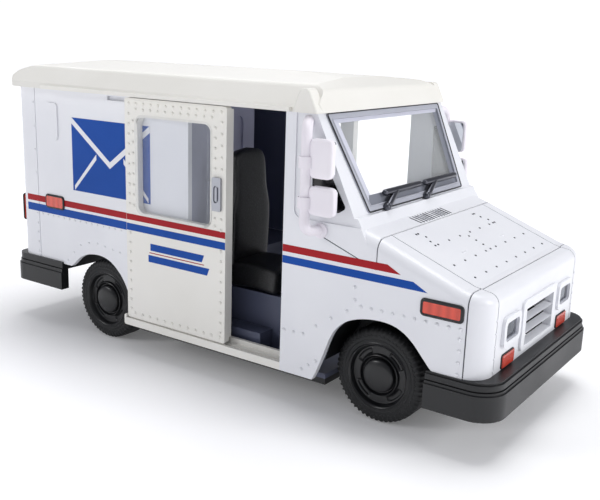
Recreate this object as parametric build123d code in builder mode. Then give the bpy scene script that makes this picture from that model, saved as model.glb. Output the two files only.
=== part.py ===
"""Scale model of a right-hand-drive mail delivery truck, as an assembly of separate pieces.

Frame: millimetres, +X to the front, +Y to the left side, +Z up.
The origin is on the ground under the middle of the truck.
"""
import os
from math import atan2, degrees, hypot

from build123d import *

os.makedirs("parts", exist_ok=True)

# ---------------------------------------------------------------- driving dimensions
half_length = 62.3          # middle to the outer face of either bumper
wheelbase = 70.9
front_axle_x = wheelbase / 2 + 2.65
rear_axle_x = front_axle_x - wheelbase

tyre_radius = 9.05
tyre_width = 6.4
tyre_face_y = 21.0          # outer side of the tyre from the middle plane
rim_radius = 6.3
axle_radius = 1.0
axle_clearance = 0.06       # radial play of an axle in its bearing

wall = 1.2                  # thickness of the painted body walls
cab_half = 24.4             # half width over the cab sides and sills
cargo_half = 22.4           # half width over the cargo box, set in behind the doors
fascia_x = half_length - 3.0      # front face of the nose
rear_x = 2.7 - half_length        # rear face of the cargo box
roof_base_z = 55.5          # top of the walls, underside of the gutters
roof_height = 6.1           # rise of the roof cap above the walls

doorway_front_x = 18.7
doorway_rear_x = -6.5
sill_bottom_z = 6.35
sill_top_z = 7.9
body_front_bottom_z = 14.3
body_rear_bottom_z = 15.5

door_rear_x = rear_axle_x + 10.22     # sliding door at rest, slid back
door_front_x = door_rear_x + doorway_front_x - doorway_rear_x + 2.04
door_thickness = 1.45
door_outer_y = cargo_half + 0.15 + door_thickness
door_gap = 0.2              # play under and over a door
door_stop_gap = 0.14        # left between a closed door and the front post
door_travel = doorway_front_x - door_stop_gap - door_front_x

floor_z = 6.6               # cab floor
cargo_floor_z = 2 * tyre_radius + 2.8
chassis_bottom_z = 4.4
chassis_thickness = 1.2
chassis_half = 13.3         # half width between the wheels

seam_width = 0.22
seam_depth = 0.25
lamp_proud = 0.3            # how far lamps stand out of the panel
lamp_pocket = 0.3           # how deep lamps are let into the panel

# side outline of the nose and windshield, as (x, z)
nose_top = (fascia_x, 28.3)
hood_front = (fascia_x - 4.4, 29.05)
hood_rear = (38.45, 35.3)
cowl_lip = (35.4, 36.3)
cowl_ridge = (34.4, 38.1)
windshield_foot = (33.65, 38.1)
windshield_head = (25.2, roof_base_z)
hood_seam_y = 19.66


# ---------------------------------------------------------------- helpers
def prism(plane, points, depth, rounds=(), mode=Mode.ADD):
    """Extrude a closed polygon from its plane; rounds lists (corner numbers, radius)."""
    with BuildSketch(plane) as profile:
        with BuildLine():
            Polyline(*points, close=True)
        make_face()
        for corners, radius in rounds:
            picked = [profile.vertices().sort_by_distance((*points[i], 0))[0] for i in corners]
            fillet(picked, radius)
    extrude(profile.sketch, amount=depth, mode=mode)


def side_prism(points, y_low, y_high, rounds=(), mode=Mode.ADD):
    """Polygon of (x, z) points carried from y_low to y_high."""
    prism(Plane.XZ.offset(-y_high), points, y_high - y_low, rounds, mode)


def front_prism(points, x_low, x_high, rounds=(), mode=Mode.ADD):
    """Polygon of (y, z) points carried from x_low to x_high."""
    prism(Plane.YZ.offset(x_low), points, x_high - x_low, rounds, mode)


def plan_prism(points, z_low, z_high, rounds=(), mode=Mode.ADD):
    """Polygon of (x, y) points carried from z_low to z_high."""
    prism(Plane.XY.offset(z_low), points, z_high - z_low, rounds, mode)


def cut_under_arch(curve, corners, half_width):
    """Cut all below a smooth curve of (x, z) points, closed through the corners back to its start."""
    with BuildSketch(Plane.XZ.offset(-half_width)) as profile:
        with BuildLine():
            Spline(*curve)
            Polyline(curve[-1], *corners, curve[0])
        make_face()
    extrude(profile.sketch, amount=2 * half_width, mode=Mode.SUBTRACT)


def rectangle(a_low, a_high, b_low, b_high):
    return [(a_low, b_low), (a_high, b_low), (a_high, b_high), (a_low, b_high)]


def block(x, y, z, mode=Mode.ADD):
    """Box between two values on each axis."""
    x, y, z = sorted(x), sorted(y), sorted(z)
    with Locations(((x[0] + x[1]) / 2, (y[0] + y[1]) / 2, (z[0] + z[1]) / 2)):
        Box(x[1] - x[0], y[1] - y[0], z[1] - z[0], mode=mode)


def span(side, inner, outer):
    """Low and high y of a stretch on the right (-1) or left (+1) side."""
    return tuple(sorted((side * inner, side * outer)))


def rod(start, end, radius, mode=Mode.ADD):
    """Round bar between two points."""
    a, b = Vector(*start), Vector(*end)
    with BuildSketch(Plane(origin=a, z_dir=(b - a))) as disc:
        Circle(radius)
    extrude(disc.sketch, amount=(b - a).length, mode=mode)


def save(builder, label):
    builder.part.label = label
    export_step(builder.part, f"parts/{label}.step")


sides = {"right": -1, "left": 1}

# ---------------------------------------------------------------- cab body
ws_run = windshield_head[0] - windshield_foot[0]
ws_rise = windshield_head[1] - windshield_foot[1]
ws_slope = hypot(ws_run, ws_rise)
ws_plane = Plane(
    origin=(windshield_foot[0], 0, windshield_foot[1]),
    x_dir=(0, 1, 0),
    z_dir=(ws_rise, 0, -ws_run),
)
ws_foot_half = 18.9
ws_head_half = 21.4
ws_border = 0.62            # painted edge below and above the glass


def ws_trapezoid(grow):
    """Windshield opening on its own sloped plane, grown outward by an amount."""
    low, high = ws_border - grow, ws_slope - ws_border + grow
    foot = ws_foot_half + grow
    head = ws_head_half + grow
    return [(-foot, low), (foot, low), (head, high), (-head, high)]


tyre_top_z = 2 * tyre_radius
front_arch = [
    (front_axle_x - 12.1, tyre_top_z - 12.0),
    (front_axle_x - 10.7, tyre_top_z - 9.0),
    (front_axle_x - 9.15, tyre_top_z - 4.9),
    (front_axle_x - 7.6, tyre_top_z - 1.35),
    (front_axle_x - 5.2, tyre_top_z + 1.05),
    (front_axle_x - 2.1, tyre_top_z + 2.3),
    (front_axle_x + 1.6, tyre_top_z + 2.8),
    (front_axle_x + 5.0, tyre_top_z + 2.4),
    (front_axle_x + 8.0, tyre_top_z + 0.65),
    (front_axle_x + 10.4, tyre_top_z - 1.9),
    (front_axle_x + 12.4, body_front_bottom_z - 0.2),
]
quarter_window = [(24.3, 52.0), (31.9, 39.6), (30.4, 38.6), (24.7, 37.9)]
headlight = {"y": 13.6, "z": 21.1, "width": 7.6, "height": 5.4, "rim": 1.0, "proud": 0.6}
turn_lamp = {"y": 13.75, "z": 15.75, "width": 5.3, "height": 2.3}
front_marker = {"x": fascia_x - 7.85, "z": 25.3, "width": 7.2, "height": 2.4}
rear_marker = {"x": rear_x + 12.2, "z": 29.8, "width": 5.7, "height": 2.6}
grille = {"half": 8.6, "low": 15.4, "high": 24.6, "proud": 0.45}
slot_levels = (21.7, 19.4, 17.1)
slot_half = 7.0
slot_height = 1.1

cavity_half = cab_half - wall
nose_radius = 4.2

with BuildPart() as cab_cavity:
    side_prism(
        [
            (doorway_front_x - 8, -2),
            (fascia_x - wall, -2),
            (fascia_x - wall, nose_top[1] - wall),
            (hood_front[0], hood_front[1] - wall),
            (hood_rear[0], hood_rear[1] - wall),
            (cowl_lip[0] - 0.6, cowl_lip[1] - wall),
            (windshield_foot[0] - wall * 1.1, windshield_foot[1] - 0.4),
            (windshield_head[0] - wall * 1.1, windshield_head[1]),
            (windshield_head[0] - wall * 1.1, roof_base_z + 2),
            (doorway_front_x - 8, roof_base_z + 2),
        ],
        -cavity_half,
        cavity_half,
    )
    inner_corners = cab_cavity.edges().filter_by(Axis.Z).filter_by(lambda e: e.center().X > fascia_x - 2)
    fillet(inner_corners, nose_radius - wall)


def hood_z(x):
    """Height of the hood's surface over a station x."""
    low, high = (hood_front, nose_top) if x > hood_front[0] else (hood_rear, hood_front)
    return low[1] + (high[1] - low[1]) * (x - low[0]) / (high[0] - low[0])


def rounded_plate_x(y, z, width, height, x_low, x_high, radius, mode=Mode.ADD):
    """Plate facing forward, centred on y and z, with rounded corners."""
    points = rectangle(y - width / 2, y + width / 2, z - height / 2, z + height / 2)
    front_prism(points, x_low, x_high, rounds=[((0, 1, 2, 3), radius)], mode=mode)


def rounded_plate_y(x, z, width, height, y_low, y_high, radius, mode=Mode.ADD):
    """Plate facing sideways, centred on x and z, with rounded corners."""
    points = rectangle(x - width / 2, x + width / 2, z - height / 2, z + height / 2)
    side_prism(points, y_low, y_high, rounds=[((0, 1, 2, 3), radius)], mode=mode)


recess_z = 36.6             # lower edge of the set-in panel round the quarter window
recess_depth = 0.25
louvre_count = 11
louvre_x = (35.95, 38.2)
louvre_y = (-7.6, 5.2)
screw_post_x = front_axle_x + 7.9
screw_post_y = 9.0
screw_post_radius = 2.0
screw_radius = 0.75
pilot_radius = 0.8
post_foot_z = chassis_bottom_z + chassis_thickness

seam_lines = []              # thin cutters that follow the rounded edges of the nose
for seam_x in (hood_rear[0] + 0.1, fascia_x - 3.47):
    top = hood_z(seam_x)
    with BuildPart() as cutter:
        for side in sides.values():
            block((seam_x, seam_x + seam_width), span(side, hood_seam_y, cab_half + 1), (top - 5.4, top + 1))
        inner_half = cab_half - seam_depth
        core = rectangle(-inner_half, inner_half, 0, top - seam_depth)
        front_prism(core, seam_x - 1, seam_x + 1, rounds=[((2, 3), 1.8)], mode=Mode.SUBTRACT)
    seam_lines.append(cutter.part)
for seam_y in (-hood_seam_y, hood_seam_y):
    with BuildPart() as cutter:
        edge = (seam_y - seam_width / 2, seam_y + seam_width / 2)
        block((fascia_x - 3.4, fascia_x + 1), edge, (25.0, 31.0))
        core = [
            (30, 0),
            (fascia_x - seam_depth, 0),
            (fascia_x - seam_depth, nose_top[1] - seam_depth),
            (hood_front[0], hood_front[1] - seam_depth),
            (30, hood_z(30) - seam_depth),
        ]
        side_prism(core, seam_y - 1, seam_y + 1, rounds=[((2,), 1.8)], mode=Mode.SUBTRACT)
    seam_lines.append(cutter.part)

with BuildPart() as cab_body:
    side_prism(
        [
            (doorway_front_x, sill_bottom_z),
            (30, sill_bottom_z),
            (30, body_front_bottom_z),
            (fascia_x, body_front_bottom_z),
            nose_top,
            hood_front,
            hood_rear,
            cowl_lip,
            cowl_ridge,
            windshield_foot,
            windshield_head,
            (doorway_front_x, roof_base_z),
        ],
        -cab_half,
        cab_half,
    )
    corners = cab_body.edges().filter_by(Axis.Z).filter_by(lambda e: e.center().X > fascia_x - 1)
    fillet(corners, nose_radius)
    shoulder = cab_body.edges().filter_by(
        lambda e: e.center().Z > nose_top[1] - 1
        and e.center().X > hood_rear[0] + 1
        and (abs(e.center().Y) > cab_half - nose_radius - 0.3 or e.center().X > fascia_x - 0.1)
    )
    fillet(shoulder, 2.0)
    add(cab_cavity.part, mode=Mode.SUBTRACT)
    cut_under_arch(front_arch, [(front_axle_x + 12.4, 4), (front_axle_x - 12.1, 4)], cab_half + 1)
    side_prism(quarter_window, -cab_half - 1, cab_half + 1, rounds=[((0, 1, 2, 3), 0.6)], mode=Mode.SUBTRACT)
    prism(ws_plane.offset(-3), ws_trapezoid(0), 6, rounds=[((0, 1, 2, 3), 0.5)], mode=Mode.SUBTRACT)
    # headlight rims, turn lamp pockets, grille frame with three air slots
    for side in sides.values():
        y = side * headlight["y"]
        z, width, height = headlight["z"], headlight["width"], headlight["height"]
        rounded_plate_x(y, z, width, height, fascia_x - 0.2, fascia_x + headlight["proud"], 1.2)
        rounded_plate_x(
            y,
            z,
            width - 2 * headlight["rim"],
            height - 2 * headlight["rim"],
            fascia_x - 2 * wall,
            fascia_x + 2,
            0.7,
            mode=Mode.SUBTRACT,
        )
        rounded_plate_x(
            side * turn_lamp["y"],
            turn_lamp["z"],
            turn_lamp["width"],
            turn_lamp["height"],
            fascia_x - lamp_pocket,
            fascia_x + 2,
            0.3,
            mode=Mode.SUBTRACT,
        )
        low, high = span(side, cab_half - lamp_pocket, cab_half + 1)
        rounded_plate_y(
            front_marker["x"],
            front_marker["z"],
            front_marker["width"],
            front_marker["height"],
            low,
            high,
            0.4,
            mode=Mode.SUBTRACT,
        )
        # set-in panel round the quarter window and the mirror
        low, high = span(side, cab_half - recess_depth, cab_half + 1)
        side_prism(
            [(21.0, roof_base_z + 1), (21.0, recess_z), (36.0, recess_z), (36.0, roof_base_z + 1)],
            low,
            high,
            rounds=[((1,), 1.6)],
            mode=Mode.SUBTRACT,
        )
        # seams of the fender cap and the slanting seam below the mirror
        low, high = span(side, cab_half - seam_depth, cab_half + 1)
        seam_x = (fascia_x - 3.47, fascia_x - 3.47 + seam_width)
        block(seam_x, (low, high), (body_front_bottom_z - 1, 27.0), Mode.SUBTRACT)
        slant = [(26.9, 34.2), (38.6, 30.0), (38.6, 30.0 - seam_width), (26.9, 34.2 - seam_width)]
        side_prism(slant, low, high, mode=Mode.SUBTRACT)
    grille_z = (grille["low"] + grille["high"]) / 2
    rounded_plate_x(
        0,
        grille_z,
        2 * grille["half"],
        grille["high"] - grille["low"],
        fascia_x - 0.2,
        fascia_x + grille["proud"],
        1.0,
    )
    for level in slot_levels:
        slot = rectangle(fascia_x - 2 * wall, fascia_x + 2, level - slot_height / 2, level + slot_height / 2)
        slot[2] = (slot[2][0], slot[2][1] + 1.2)
        slot[1] = (slot[1][0], slot[1][1] - 0.6)
        side_prism(slot, -slot_half, slot_half, mode=Mode.SUBTRACT)
    # panel seams on the fascia and the hood
    for y in (-hood_seam_y, hood_seam_y):
        edge = (y - seam_width / 2, y + seam_width / 2)
        block((fascia_x - seam_depth, fascia_x + 1), edge, (body_front_bottom_z - 1, 25.6), Mode.SUBTRACT)
        strip = [
            (hood_rear[0], hood_rear[1] - seam_depth),
            (hood_front[0], hood_front[1] - seam_depth),
            (fascia_x - 3.2, hood_z(fascia_x - 3.2) - seam_depth),
            (fascia_x - 3.2, hood_rear[1] + 2),
            (hood_rear[0], hood_rear[1] + 2),
        ]
        side_prism(strip, *edge, mode=Mode.SUBTRACT)
    for x in (hood_rear[0] + 0.1, fascia_x - 3.2):
        seam_x = (x, x + seam_width)
        seam_z = (hood_z(x) - seam_depth, hood_z(x) + 2)
        block(seam_x, (-hood_seam_y, hood_seam_y), seam_z, Mode.SUBTRACT)
    for seam in seam_lines:
        add(seam, mode=Mode.SUBTRACT)
    # louvres of the air inlet in the cowl
    louvre_pitch = (louvre_y[1] - louvre_y[0]) / (louvre_count - 1)
    cowl_z = (cowl_lip[1] + hood_rear[1]) / 2
    for i in range(louvre_count):
        with Locations(((louvre_x[0] + louvre_x[1]) / 2, louvre_y[0] + i * louvre_pitch, cowl_z)):
            Box(louvre_x[1] - louvre_x[0], 0.5, 1.6, rotation=(0, 0, 14), mode=Mode.SUBTRACT)
    # screw posts under the hood
    for y in (-screw_post_y, screw_post_y):
        post_top = hood_z(screw_post_x) - wall / 2
        rod((screw_post_x, y, post_foot_z), (screw_post_x, y, post_top), screw_post_radius)
        foot, pilot_end = (screw_post_x, y, post_foot_z - 1), (screw_post_x, y, post_foot_z + 9)
        rod(foot, pilot_end, pilot_radius, Mode.SUBTRACT)
save(cab_body, "cab_body")

# ---------------------------------------------------------------- glazing of the cab
glass_thickness = 0.7
gasket_proud = 0.3

with BuildPart() as windshield:
    pane = ws_plane.offset(-glass_thickness)
    prism(pane, ws_trapezoid(-0.02), glass_thickness, rounds=[((0, 1, 2, 3), 0.5)])
save(windshield, "windshield")

with BuildPart() as windshield_gasket:
    prism(ws_plane, ws_trapezoid(0.45), gasket_proud, rounds=[((0, 1, 2, 3), 0.5)])
    prism(ws_plane, ws_trapezoid(-0.75), gasket_proud, rounds=[((0, 1, 2, 3), 0.4)], mode=Mode.SUBTRACT)
save(windshield_gasket, "windshield_gasket")


def make_quarter_glass(side):
    low, high = span(side, cab_half - wall, cab_half - 0.55)
    with BuildPart() as glass:
        side_prism(quarter_window, low, high, rounds=[((0, 1, 2, 3), 0.6)])
    return glass


wiper_radius = 0.5
wiper_lift = 0.62            # wiper axis above the glass plane


def on_windshield(y, up):
    """Point above the windshield, a distance up its slope from its foot."""
    p = ws_plane.from_local_coords((y, up, wiper_lift + gasket_proud))
    return (p.X, p.Y, p.Z)


def make_wiper(blade_start, blade_end, arm_top, arm_foot):
    with BuildPart() as wiper:
        rod(on_windshield(blade_start, 3.0), on_windshield(blade_end, 3.0), wiper_radius)
        rod(on_windshield(arm_top, 3.0), on_windshield(arm_foot, 0.35), wiper_radius)
        foot = ws_plane.from_local_coords((arm_foot, 0.35, gasket_proud))
        top = ws_plane.from_local_coords((arm_foot, 0.35, wiper_lift + gasket_proud))
        rod((foot.X, foot.Y, foot.Z), (top.X, top.Y, top.Z), 0.45)
    return wiper


wipers = {"right": make_wiper(-13.4, 1.0, -8.5, -13.6), "left": make_wiper(2.6, 17.0, 7.6, 2.2)}
for name, wiper in wipers.items():
    save(wiper, f"wiper_{name}")

# ---------------------------------------------------------------- cargo body
cargo_wall = 1.1
cargo_inner = cargo_half - cargo_wall
rear_arch = [
    (rear_axle_x - 9.7, body_rear_bottom_z),
    (rear_axle_x - 8.2, tyre_top_z - 1.35),
    (rear_axle_x - 6.7, tyre_top_z - 0.1),
    (rear_axle_x - 4.3, tyre_top_z + 1.0),
    (rear_axle_x - 1.9, tyre_top_z + 1.45),
    (rear_axle_x + 0.5, tyre_top_z + 1.45),
    (rear_axle_x + 3.0, tyre_top_z + 0.8),
    (rear_axle_x + 5.6, tyre_top_z - 0.95),
    (rear_axle_x + 7.4, tyre_top_z - 3.0),
    (rear_axle_x + 9.0, tyre_top_z - 6.0),
    (rear_axle_x + 10.4, sill_top_z),
]
hatch_half = 18.4
hatch_z = (21.4, 53.4)
tail_lamp = {"y": 20.4, "z": 27.0, "width": 2.6, "height": 6.0}
track_z = (54.1, 55.0)
track_depth = 0.7

with BuildPart() as cargo_body:
    block((rear_x, doorway_rear_x), (-cargo_half, cargo_half), (sill_top_z, roof_base_z))
    corners = cargo_body.edges().filter_by(Axis.Z).filter_by(lambda e: e.center().X < rear_x + 1)
    fillet(corners, 2.3)
    hold_x = (rear_x + wall, doorway_rear_x + 1)
    block(hold_x, (-cargo_inner, cargo_inner), (0, roof_base_z + 1), Mode.SUBTRACT)
    below = [(rear_axle_x + 10.4, 0), (rear_x - 1, 0), (rear_x - 1, body_rear_bottom_z)]
    cut_under_arch(rear_arch, below, cargo_half + 1)
    block((rear_x - 1, rear_x + 2), (-hatch_half, hatch_half), hatch_z, mode=Mode.SUBTRACT)
    for side in sides.values():
        low, high = span(side, cargo_half - 0.1, cargo_half + 0.3)
        rounded_plate_y(rear_x + 12.3, 48.2, 3.6, 8.2, low, high, 0.8)
        low, high = span(side, cargo_half - lamp_pocket, cargo_half + 1)
        rounded_plate_y(
            rear_marker["x"],
            rear_marker["z"],
            rear_marker["width"],
            rear_marker["height"],
            low,
            high,
            0.5,
            mode=Mode.SUBTRACT,
        )
        low, high = span(side, cargo_half - seam_depth, cargo_half + 1)
        seam_x = (rear_x + 6.3, rear_x + 6.3 + seam_width)
        block(seam_x, (low, high), (0, roof_base_z + 1), Mode.SUBTRACT)
        low, high = span(side, cargo_half - track_depth, cargo_half + 1)
        block((door_rear_x - 6.9, doorway_rear_x + 1), (low, high), track_z, mode=Mode.SUBTRACT)
        rounded_plate_x(
            side * tail_lamp["y"],
            tail_lamp["z"],
            tail_lamp["width"],
            tail_lamp["height"],
            rear_x - 1,
            rear_x + lamp_pocket,
            0.5,
            mode=Mode.SUBTRACT,
        )
save(cargo_body, "cargo_body")

slat_count = 12
shutter_thickness = 1.0
with BuildPart() as rear_shutter:
    block((rear_x + 0.2, rear_x + 0.2 + shutter_thickness), (-hatch_half, hatch_half), hatch_z)
    slat_pitch = (hatch_z[1] - hatch_z[0]) / slat_count
    for i in range(1, slat_count):
        z = hatch_z[0] + i * slat_pitch
        block((rear_x, rear_x + 0.5), (-hatch_half, hatch_half), (z - 0.15, z + 0.15), mode=Mode.SUBTRACT)
save(rear_shutter, "rear_shutter")

with BuildPart() as shutter_handle:
    for y in (-2.4, 2.4):
        block((rear_x - 0.9, rear_x + 0.2), (y - 0.35, y + 0.35), (24.4, 25.4))
    block((rear_x - 1.3, rear_x - 0.9), (-2.75, 2.75), (24.4, 25.4))
save(shutter_handle, "shutter_handle")

# ---------------------------------------------------------------- roof cap
gutter_half = 25.3
gutter_x = (rear_x + 12.0, 19.9)
roof_rear_x = rear_x - 0.6
visor_x = windshield_head[0] + 0.6
roof_top_z = roof_base_z + roof_height
roof_side = [
    (roof_rear_x, roof_base_z),
    (visor_x, roof_base_z),
    (visor_x - 1.2, roof_top_z - 2.3),
    (visor_x - 6.0, roof_top_z - 0.5),
    (0, roof_top_z),
    (roof_rear_x + 8, roof_top_z - 0.2),
    (roof_rear_x + 0.4, roof_top_z - 2.8),
]
roof_front = [
    (-24.6, roof_base_z),
    (24.6, roof_base_z),
    (24.2, roof_base_z + 1.2),
    (20.5, roof_top_z - 1.4),
    (0, roof_top_z),
    (-20.5, roof_top_z - 1.4),
    (-24.2, roof_base_z + 1.2),
]
cheek_y = (22.6, 25.1)
cheek_outline = [
    (visor_x - 5.5, roof_base_z),
    (visor_x, roof_base_z),
    (visor_x - 2.0, roof_top_z - 1.9),
    (visor_x - 3.9, roof_top_z - 1.9),
]

with BuildPart() as roof_cap:
    side_prism(roof_side, -26, 26, rounds=[((2, 3), 2.0), ((6,), 2.0)])
    front_prism(roof_front, roof_rear_x - 1, visor_x + 1, rounds=[((3, 5), 3.0)], mode=Mode.INTERSECT)
    plan_prism(
        rectangle(roof_rear_x, visor_x, -24.6, 24.6),
        roof_base_z - 1,
        roof_top_z + 1,
        rounds=[((0, 3), 3.0), ((1, 2), 2.4)],
        mode=Mode.INTERSECT,
    )
    for side in sides.values():
        side_prism(cheek_outline, *span(side, *cheek_y), rounds=[((2, 3), 0.9)])
    rims = roof_cap.faces().filter_by(lambda f: abs(f.center().Y) > cheek_y[1] - 0.01).edges()
    fillet(rims.filter_by(lambda e: e.center().Z > roof_base_z + 0.2), 0.45)
    block(gutter_x, (-gutter_half, gutter_half), (roof_base_z, roof_base_z + 0.75))
    hollow = rectangle(rear_x + 2, visor_x - 3.4, -21.0, 21.0)
    plan_prism(hollow, roof_base_z - 1, roof_top_z - 2.4, rounds=[((0, 1, 2, 3), 1.5)], mode=Mode.SUBTRACT)
save(roof_cap, "roof_cap")

# ---------------------------------------------------------------- sills with the door tracks
sill_rear_x = door_rear_x - 0.15
sill_end = 0.6
ridge_top_z = 8.9
ridge_y = (21.0, 21.7)
groove_y = (22.85, 23.65)
groove_bottom_z = 7.2
tongue_y = (22.95, 23.55)


def make_sill(side):
    with BuildPart() as sill:
        body = (sill_rear_x - sill_end, doorway_front_x)
        block(body, span(side, cargo_inner, cab_half), (sill_bottom_z, sill_top_z))
        stop_z = (sill_bottom_z, sill_top_z + 0.8)
        block((body[0], sill_rear_x), span(side, groove_y[0] - 0.1, cab_half), stop_z)
        edges = sill.edges().filter_by(Axis.Y).filter_by(lambda e: e.center().X < body[0] + 0.1)
        fillet(edges, 0.5)
        block((doorway_rear_x + 0.1, doorway_front_x), span(side, *ridge_y), (sill_bottom_z, ridge_top_z))
        track_x = (sill_rear_x, doorway_front_x - 0.1)
        block(track_x, span(side, *groove_y), (groove_bottom_z, 9.9), Mode.SUBTRACT)
    return sill


# ---------------------------------------------------------------- sliding doors
door_bottom_z = sill_top_z + door_gap
door_top_z = roof_base_z - door_gap - 0.1
door_inner_y = door_outer_y - door_thickness
door_window = {"x": (door_rear_x + 3.58, door_front_x - 4.0), "z": (31.65, 51.5)}
stile_x = (door_front_x - 1.76, door_front_x)
stile_inner_y = 21.9
handle_x = (door_front_x - 3.25, door_front_x - 1.05)
handle_z = (35.0, 41.6)
bezel = 0.5                 # how far the window's rim laps over the door
bezel_proud = 0.3


def make_door(side):
    with BuildPart() as door:
        points = rectangle(door_rear_x, door_front_x, door_bottom_z, door_top_z)
        side_prism(points, *span(side, door_inner_y, door_outer_y), rounds=[((0, 1, 2, 3), 0.5)])
        block(stile_x, span(side, stile_inner_y, door_inner_y + 0.2), (ridge_top_z + 0.3, door_top_z - 0.5))
        x0, x1 = door_window["x"]
        z0, z1 = door_window["z"]
        opening = rectangle(x0, x1, z0, z1)
        low, high = span(side, door_inner_y - 1, door_outer_y + 1)
        side_prism(opening, low, high, rounds=[((0, 1, 2, 3), 1.6)], mode=Mode.SUBTRACT)
        tongue_z = (groove_bottom_z + 0.2, door_bottom_z + 0.2)
        block((door_rear_x + 0.6, door_front_x - 0.6), span(side, *tongue_y), tongue_z)
        for x in (door_rear_x + 1.0, doorway_rear_x - 4.0):
            shoe_z = (track_z[0] + 0.2, track_z[1] - 0.2)
            block((x, x + 3.0), span(side, cargo_half - 0.5, door_inner_y + 0.2), shoe_z)
    return door


def make_door_window(side):
    x0, x1 = door_window["x"]
    z0, z1 = door_window["z"]
    with BuildPart() as pane:
        opening = rectangle(x0 + 0.02, x1 - 0.02, z0 + 0.02, z1 - 0.02)
        low, high = span(side, door_inner_y + 0.35, door_outer_y + bezel_proud)
        side_prism(opening, low, high, rounds=[((0, 1, 2, 3), 1.6)])
        rim = rectangle(x0 - bezel, x1 + bezel, z0 - bezel, z1 + bezel)
        side_prism(rim, *span(side, door_outer_y, door_outer_y + bezel_proud), rounds=[((0, 1, 2, 3), 2.1)])
        well = rectangle(x0 + 0.5, x1 - 0.5, z0 + 0.5, z1 - 0.5)
        low, high = span(side, door_outer_y - 0.1, door_outer_y + 1)
        side_prism(well, low, high, rounds=[((0, 1, 2, 3), 1.2)], mode=Mode.SUBTRACT)
    return pane


def make_door_handle(side):
    middle_x, middle_z = sum(handle_x) / 2, sum(handle_z) / 2
    width, height = handle_x[1] - handle_x[0], handle_z[1] - handle_z[0]
    with BuildPart() as handle:
        rounded_plate_y(middle_x, middle_z, width, height, *span(side, door_outer_y, door_outer_y + 0.45), 0.35)
        low, high = span(side, door_outer_y + 0.15, door_outer_y + 1)
        rounded_plate_y(middle_x, middle_z, width - 0.9, height * 0.52, low, high, 0.6, mode=Mode.SUBTRACT)
        low, high = span(side, door_outer_y + 0.1, door_outer_y + 0.5)
        rounded_plate_y(middle_x, middle_z, 0.55, height * 0.42, low, high, 0.2)
    return handle


# ---------------------------------------------------------------- lamps
def make_headlight(side):
    rim = headlight["rim"]
    width, height = headlight["width"] - 2 * rim - 0.04, headlight["height"] - 2 * rim - 0.04
    with BuildPart() as lens:
        y, z = side * headlight["y"], headlight["z"]
        rounded_plate_x(y, z, width, height, fascia_x - wall, fascia_x - 0.25, 0.65)
    return lens


def make_turn_lamp(side):
    lamp = turn_lamp
    with BuildPart() as body:
        y, z = side * lamp["y"], lamp["z"]
        x0, x1 = fascia_x - lamp_pocket, fascia_x + lamp_proud
        rounded_plate_x(y, z, lamp["width"] - 0.04, lamp["height"] - 0.04, x0, x1, 0.28)
    return body


def make_marker(side, lamp, panel_y):
    with BuildPart() as body:
        low, high = span(side, panel_y - lamp_pocket, panel_y + lamp_proud)
        rounded_plate_y(lamp["x"], lamp["z"], lamp["width"] - 0.04, lamp["height"] - 0.04, low, high, 0.38)
    return body


def make_tail_lamp(side):
    lamp = tail_lamp
    with BuildPart() as body:
        y, z = side * lamp["y"], lamp["z"]
        x0, x1 = rear_x - lamp_proud, rear_x + lamp_pocket
        rounded_plate_x(y, z, lamp["width"] - 0.04, lamp["height"] - 0.04, x0, x1, 0.45)
    return body


# ---------------------------------------------------------------- bumpers
def bumper_plan(face, flank_half, flank_end, inset):
    """U-shaped plan of a bumper, inset from its outer outline."""
    sign = 1 if face > 0 else -1
    outer_x = face - sign * inset
    half = flank_half - inset
    return [(flank_end, -half), (outer_x, -half), (outer_x, half), (flank_end, half)]


def make_bumper(face, body_x, flank_half, flank_end, body_half, body_corner, body_bottom, layers, corner):
    """Stacked layers (z low, z high, inset), with a ledge under the body's wall."""
    sign = 1 if face > 0 else -1
    with BuildPart() as bumper:
        for z_low, z_high, inset in layers:
            plan = bumper_plan(face, flank_half, flank_end, inset)
            plan_prism(plan, z_low, z_high, rounds=[((1, 2), corner - inset * 0.6)])
        for inset, z_low in ((0, body_bottom), (wall, 0)):
            hollow = bumper_plan(body_x, body_half, flank_end - sign, inset)
            plan_prism(hollow, z_low, 40, rounds=[((1, 2), body_corner - inset)], mode=Mode.SUBTRACT)
    return bumper


front_bumper = make_bumper(
    half_length,
    fascia_x,
    cab_half + 0.9,
    fascia_x - 9.9,
    cab_half,
    nose_radius,
    body_front_bottom_z,
    [(7.7, 12.2, 0.0), (12.2, 12.75, 0.25), (12.75, 12.95, 0.65), (12.95, 13.9, 0.4), (13.9, 14.3, 0.7)],
    5.0,
)
save(front_bumper, "front_bumper")
rear_bumper = make_bumper(
    -half_length,
    rear_x,
    cargo_half + 0.9,
    rear_x + 14.4,
    cargo_half,
    2.3,
    body_rear_bottom_z,
    [(9.4, 13.4, 0.0), (13.4, 14.3, 0.25), (14.3, 14.5, 0.65), (14.5, 15.9, 0.4)],
    3.2,
)
save(rear_bumper, "rear_bumper")

# ---------------------------------------------------------------- base plate and running gear
block_half_x = 3.0
block_y = (9.5, chassis_half)
block_top_z = tyre_radius + 2.4
rear_post_x = rear_axle_x - 7.0
firewall_x = front_axle_x - tyre_radius - 2.05
wide_rear_x = rear_axle_x + tyre_radius + 1.75

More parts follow.
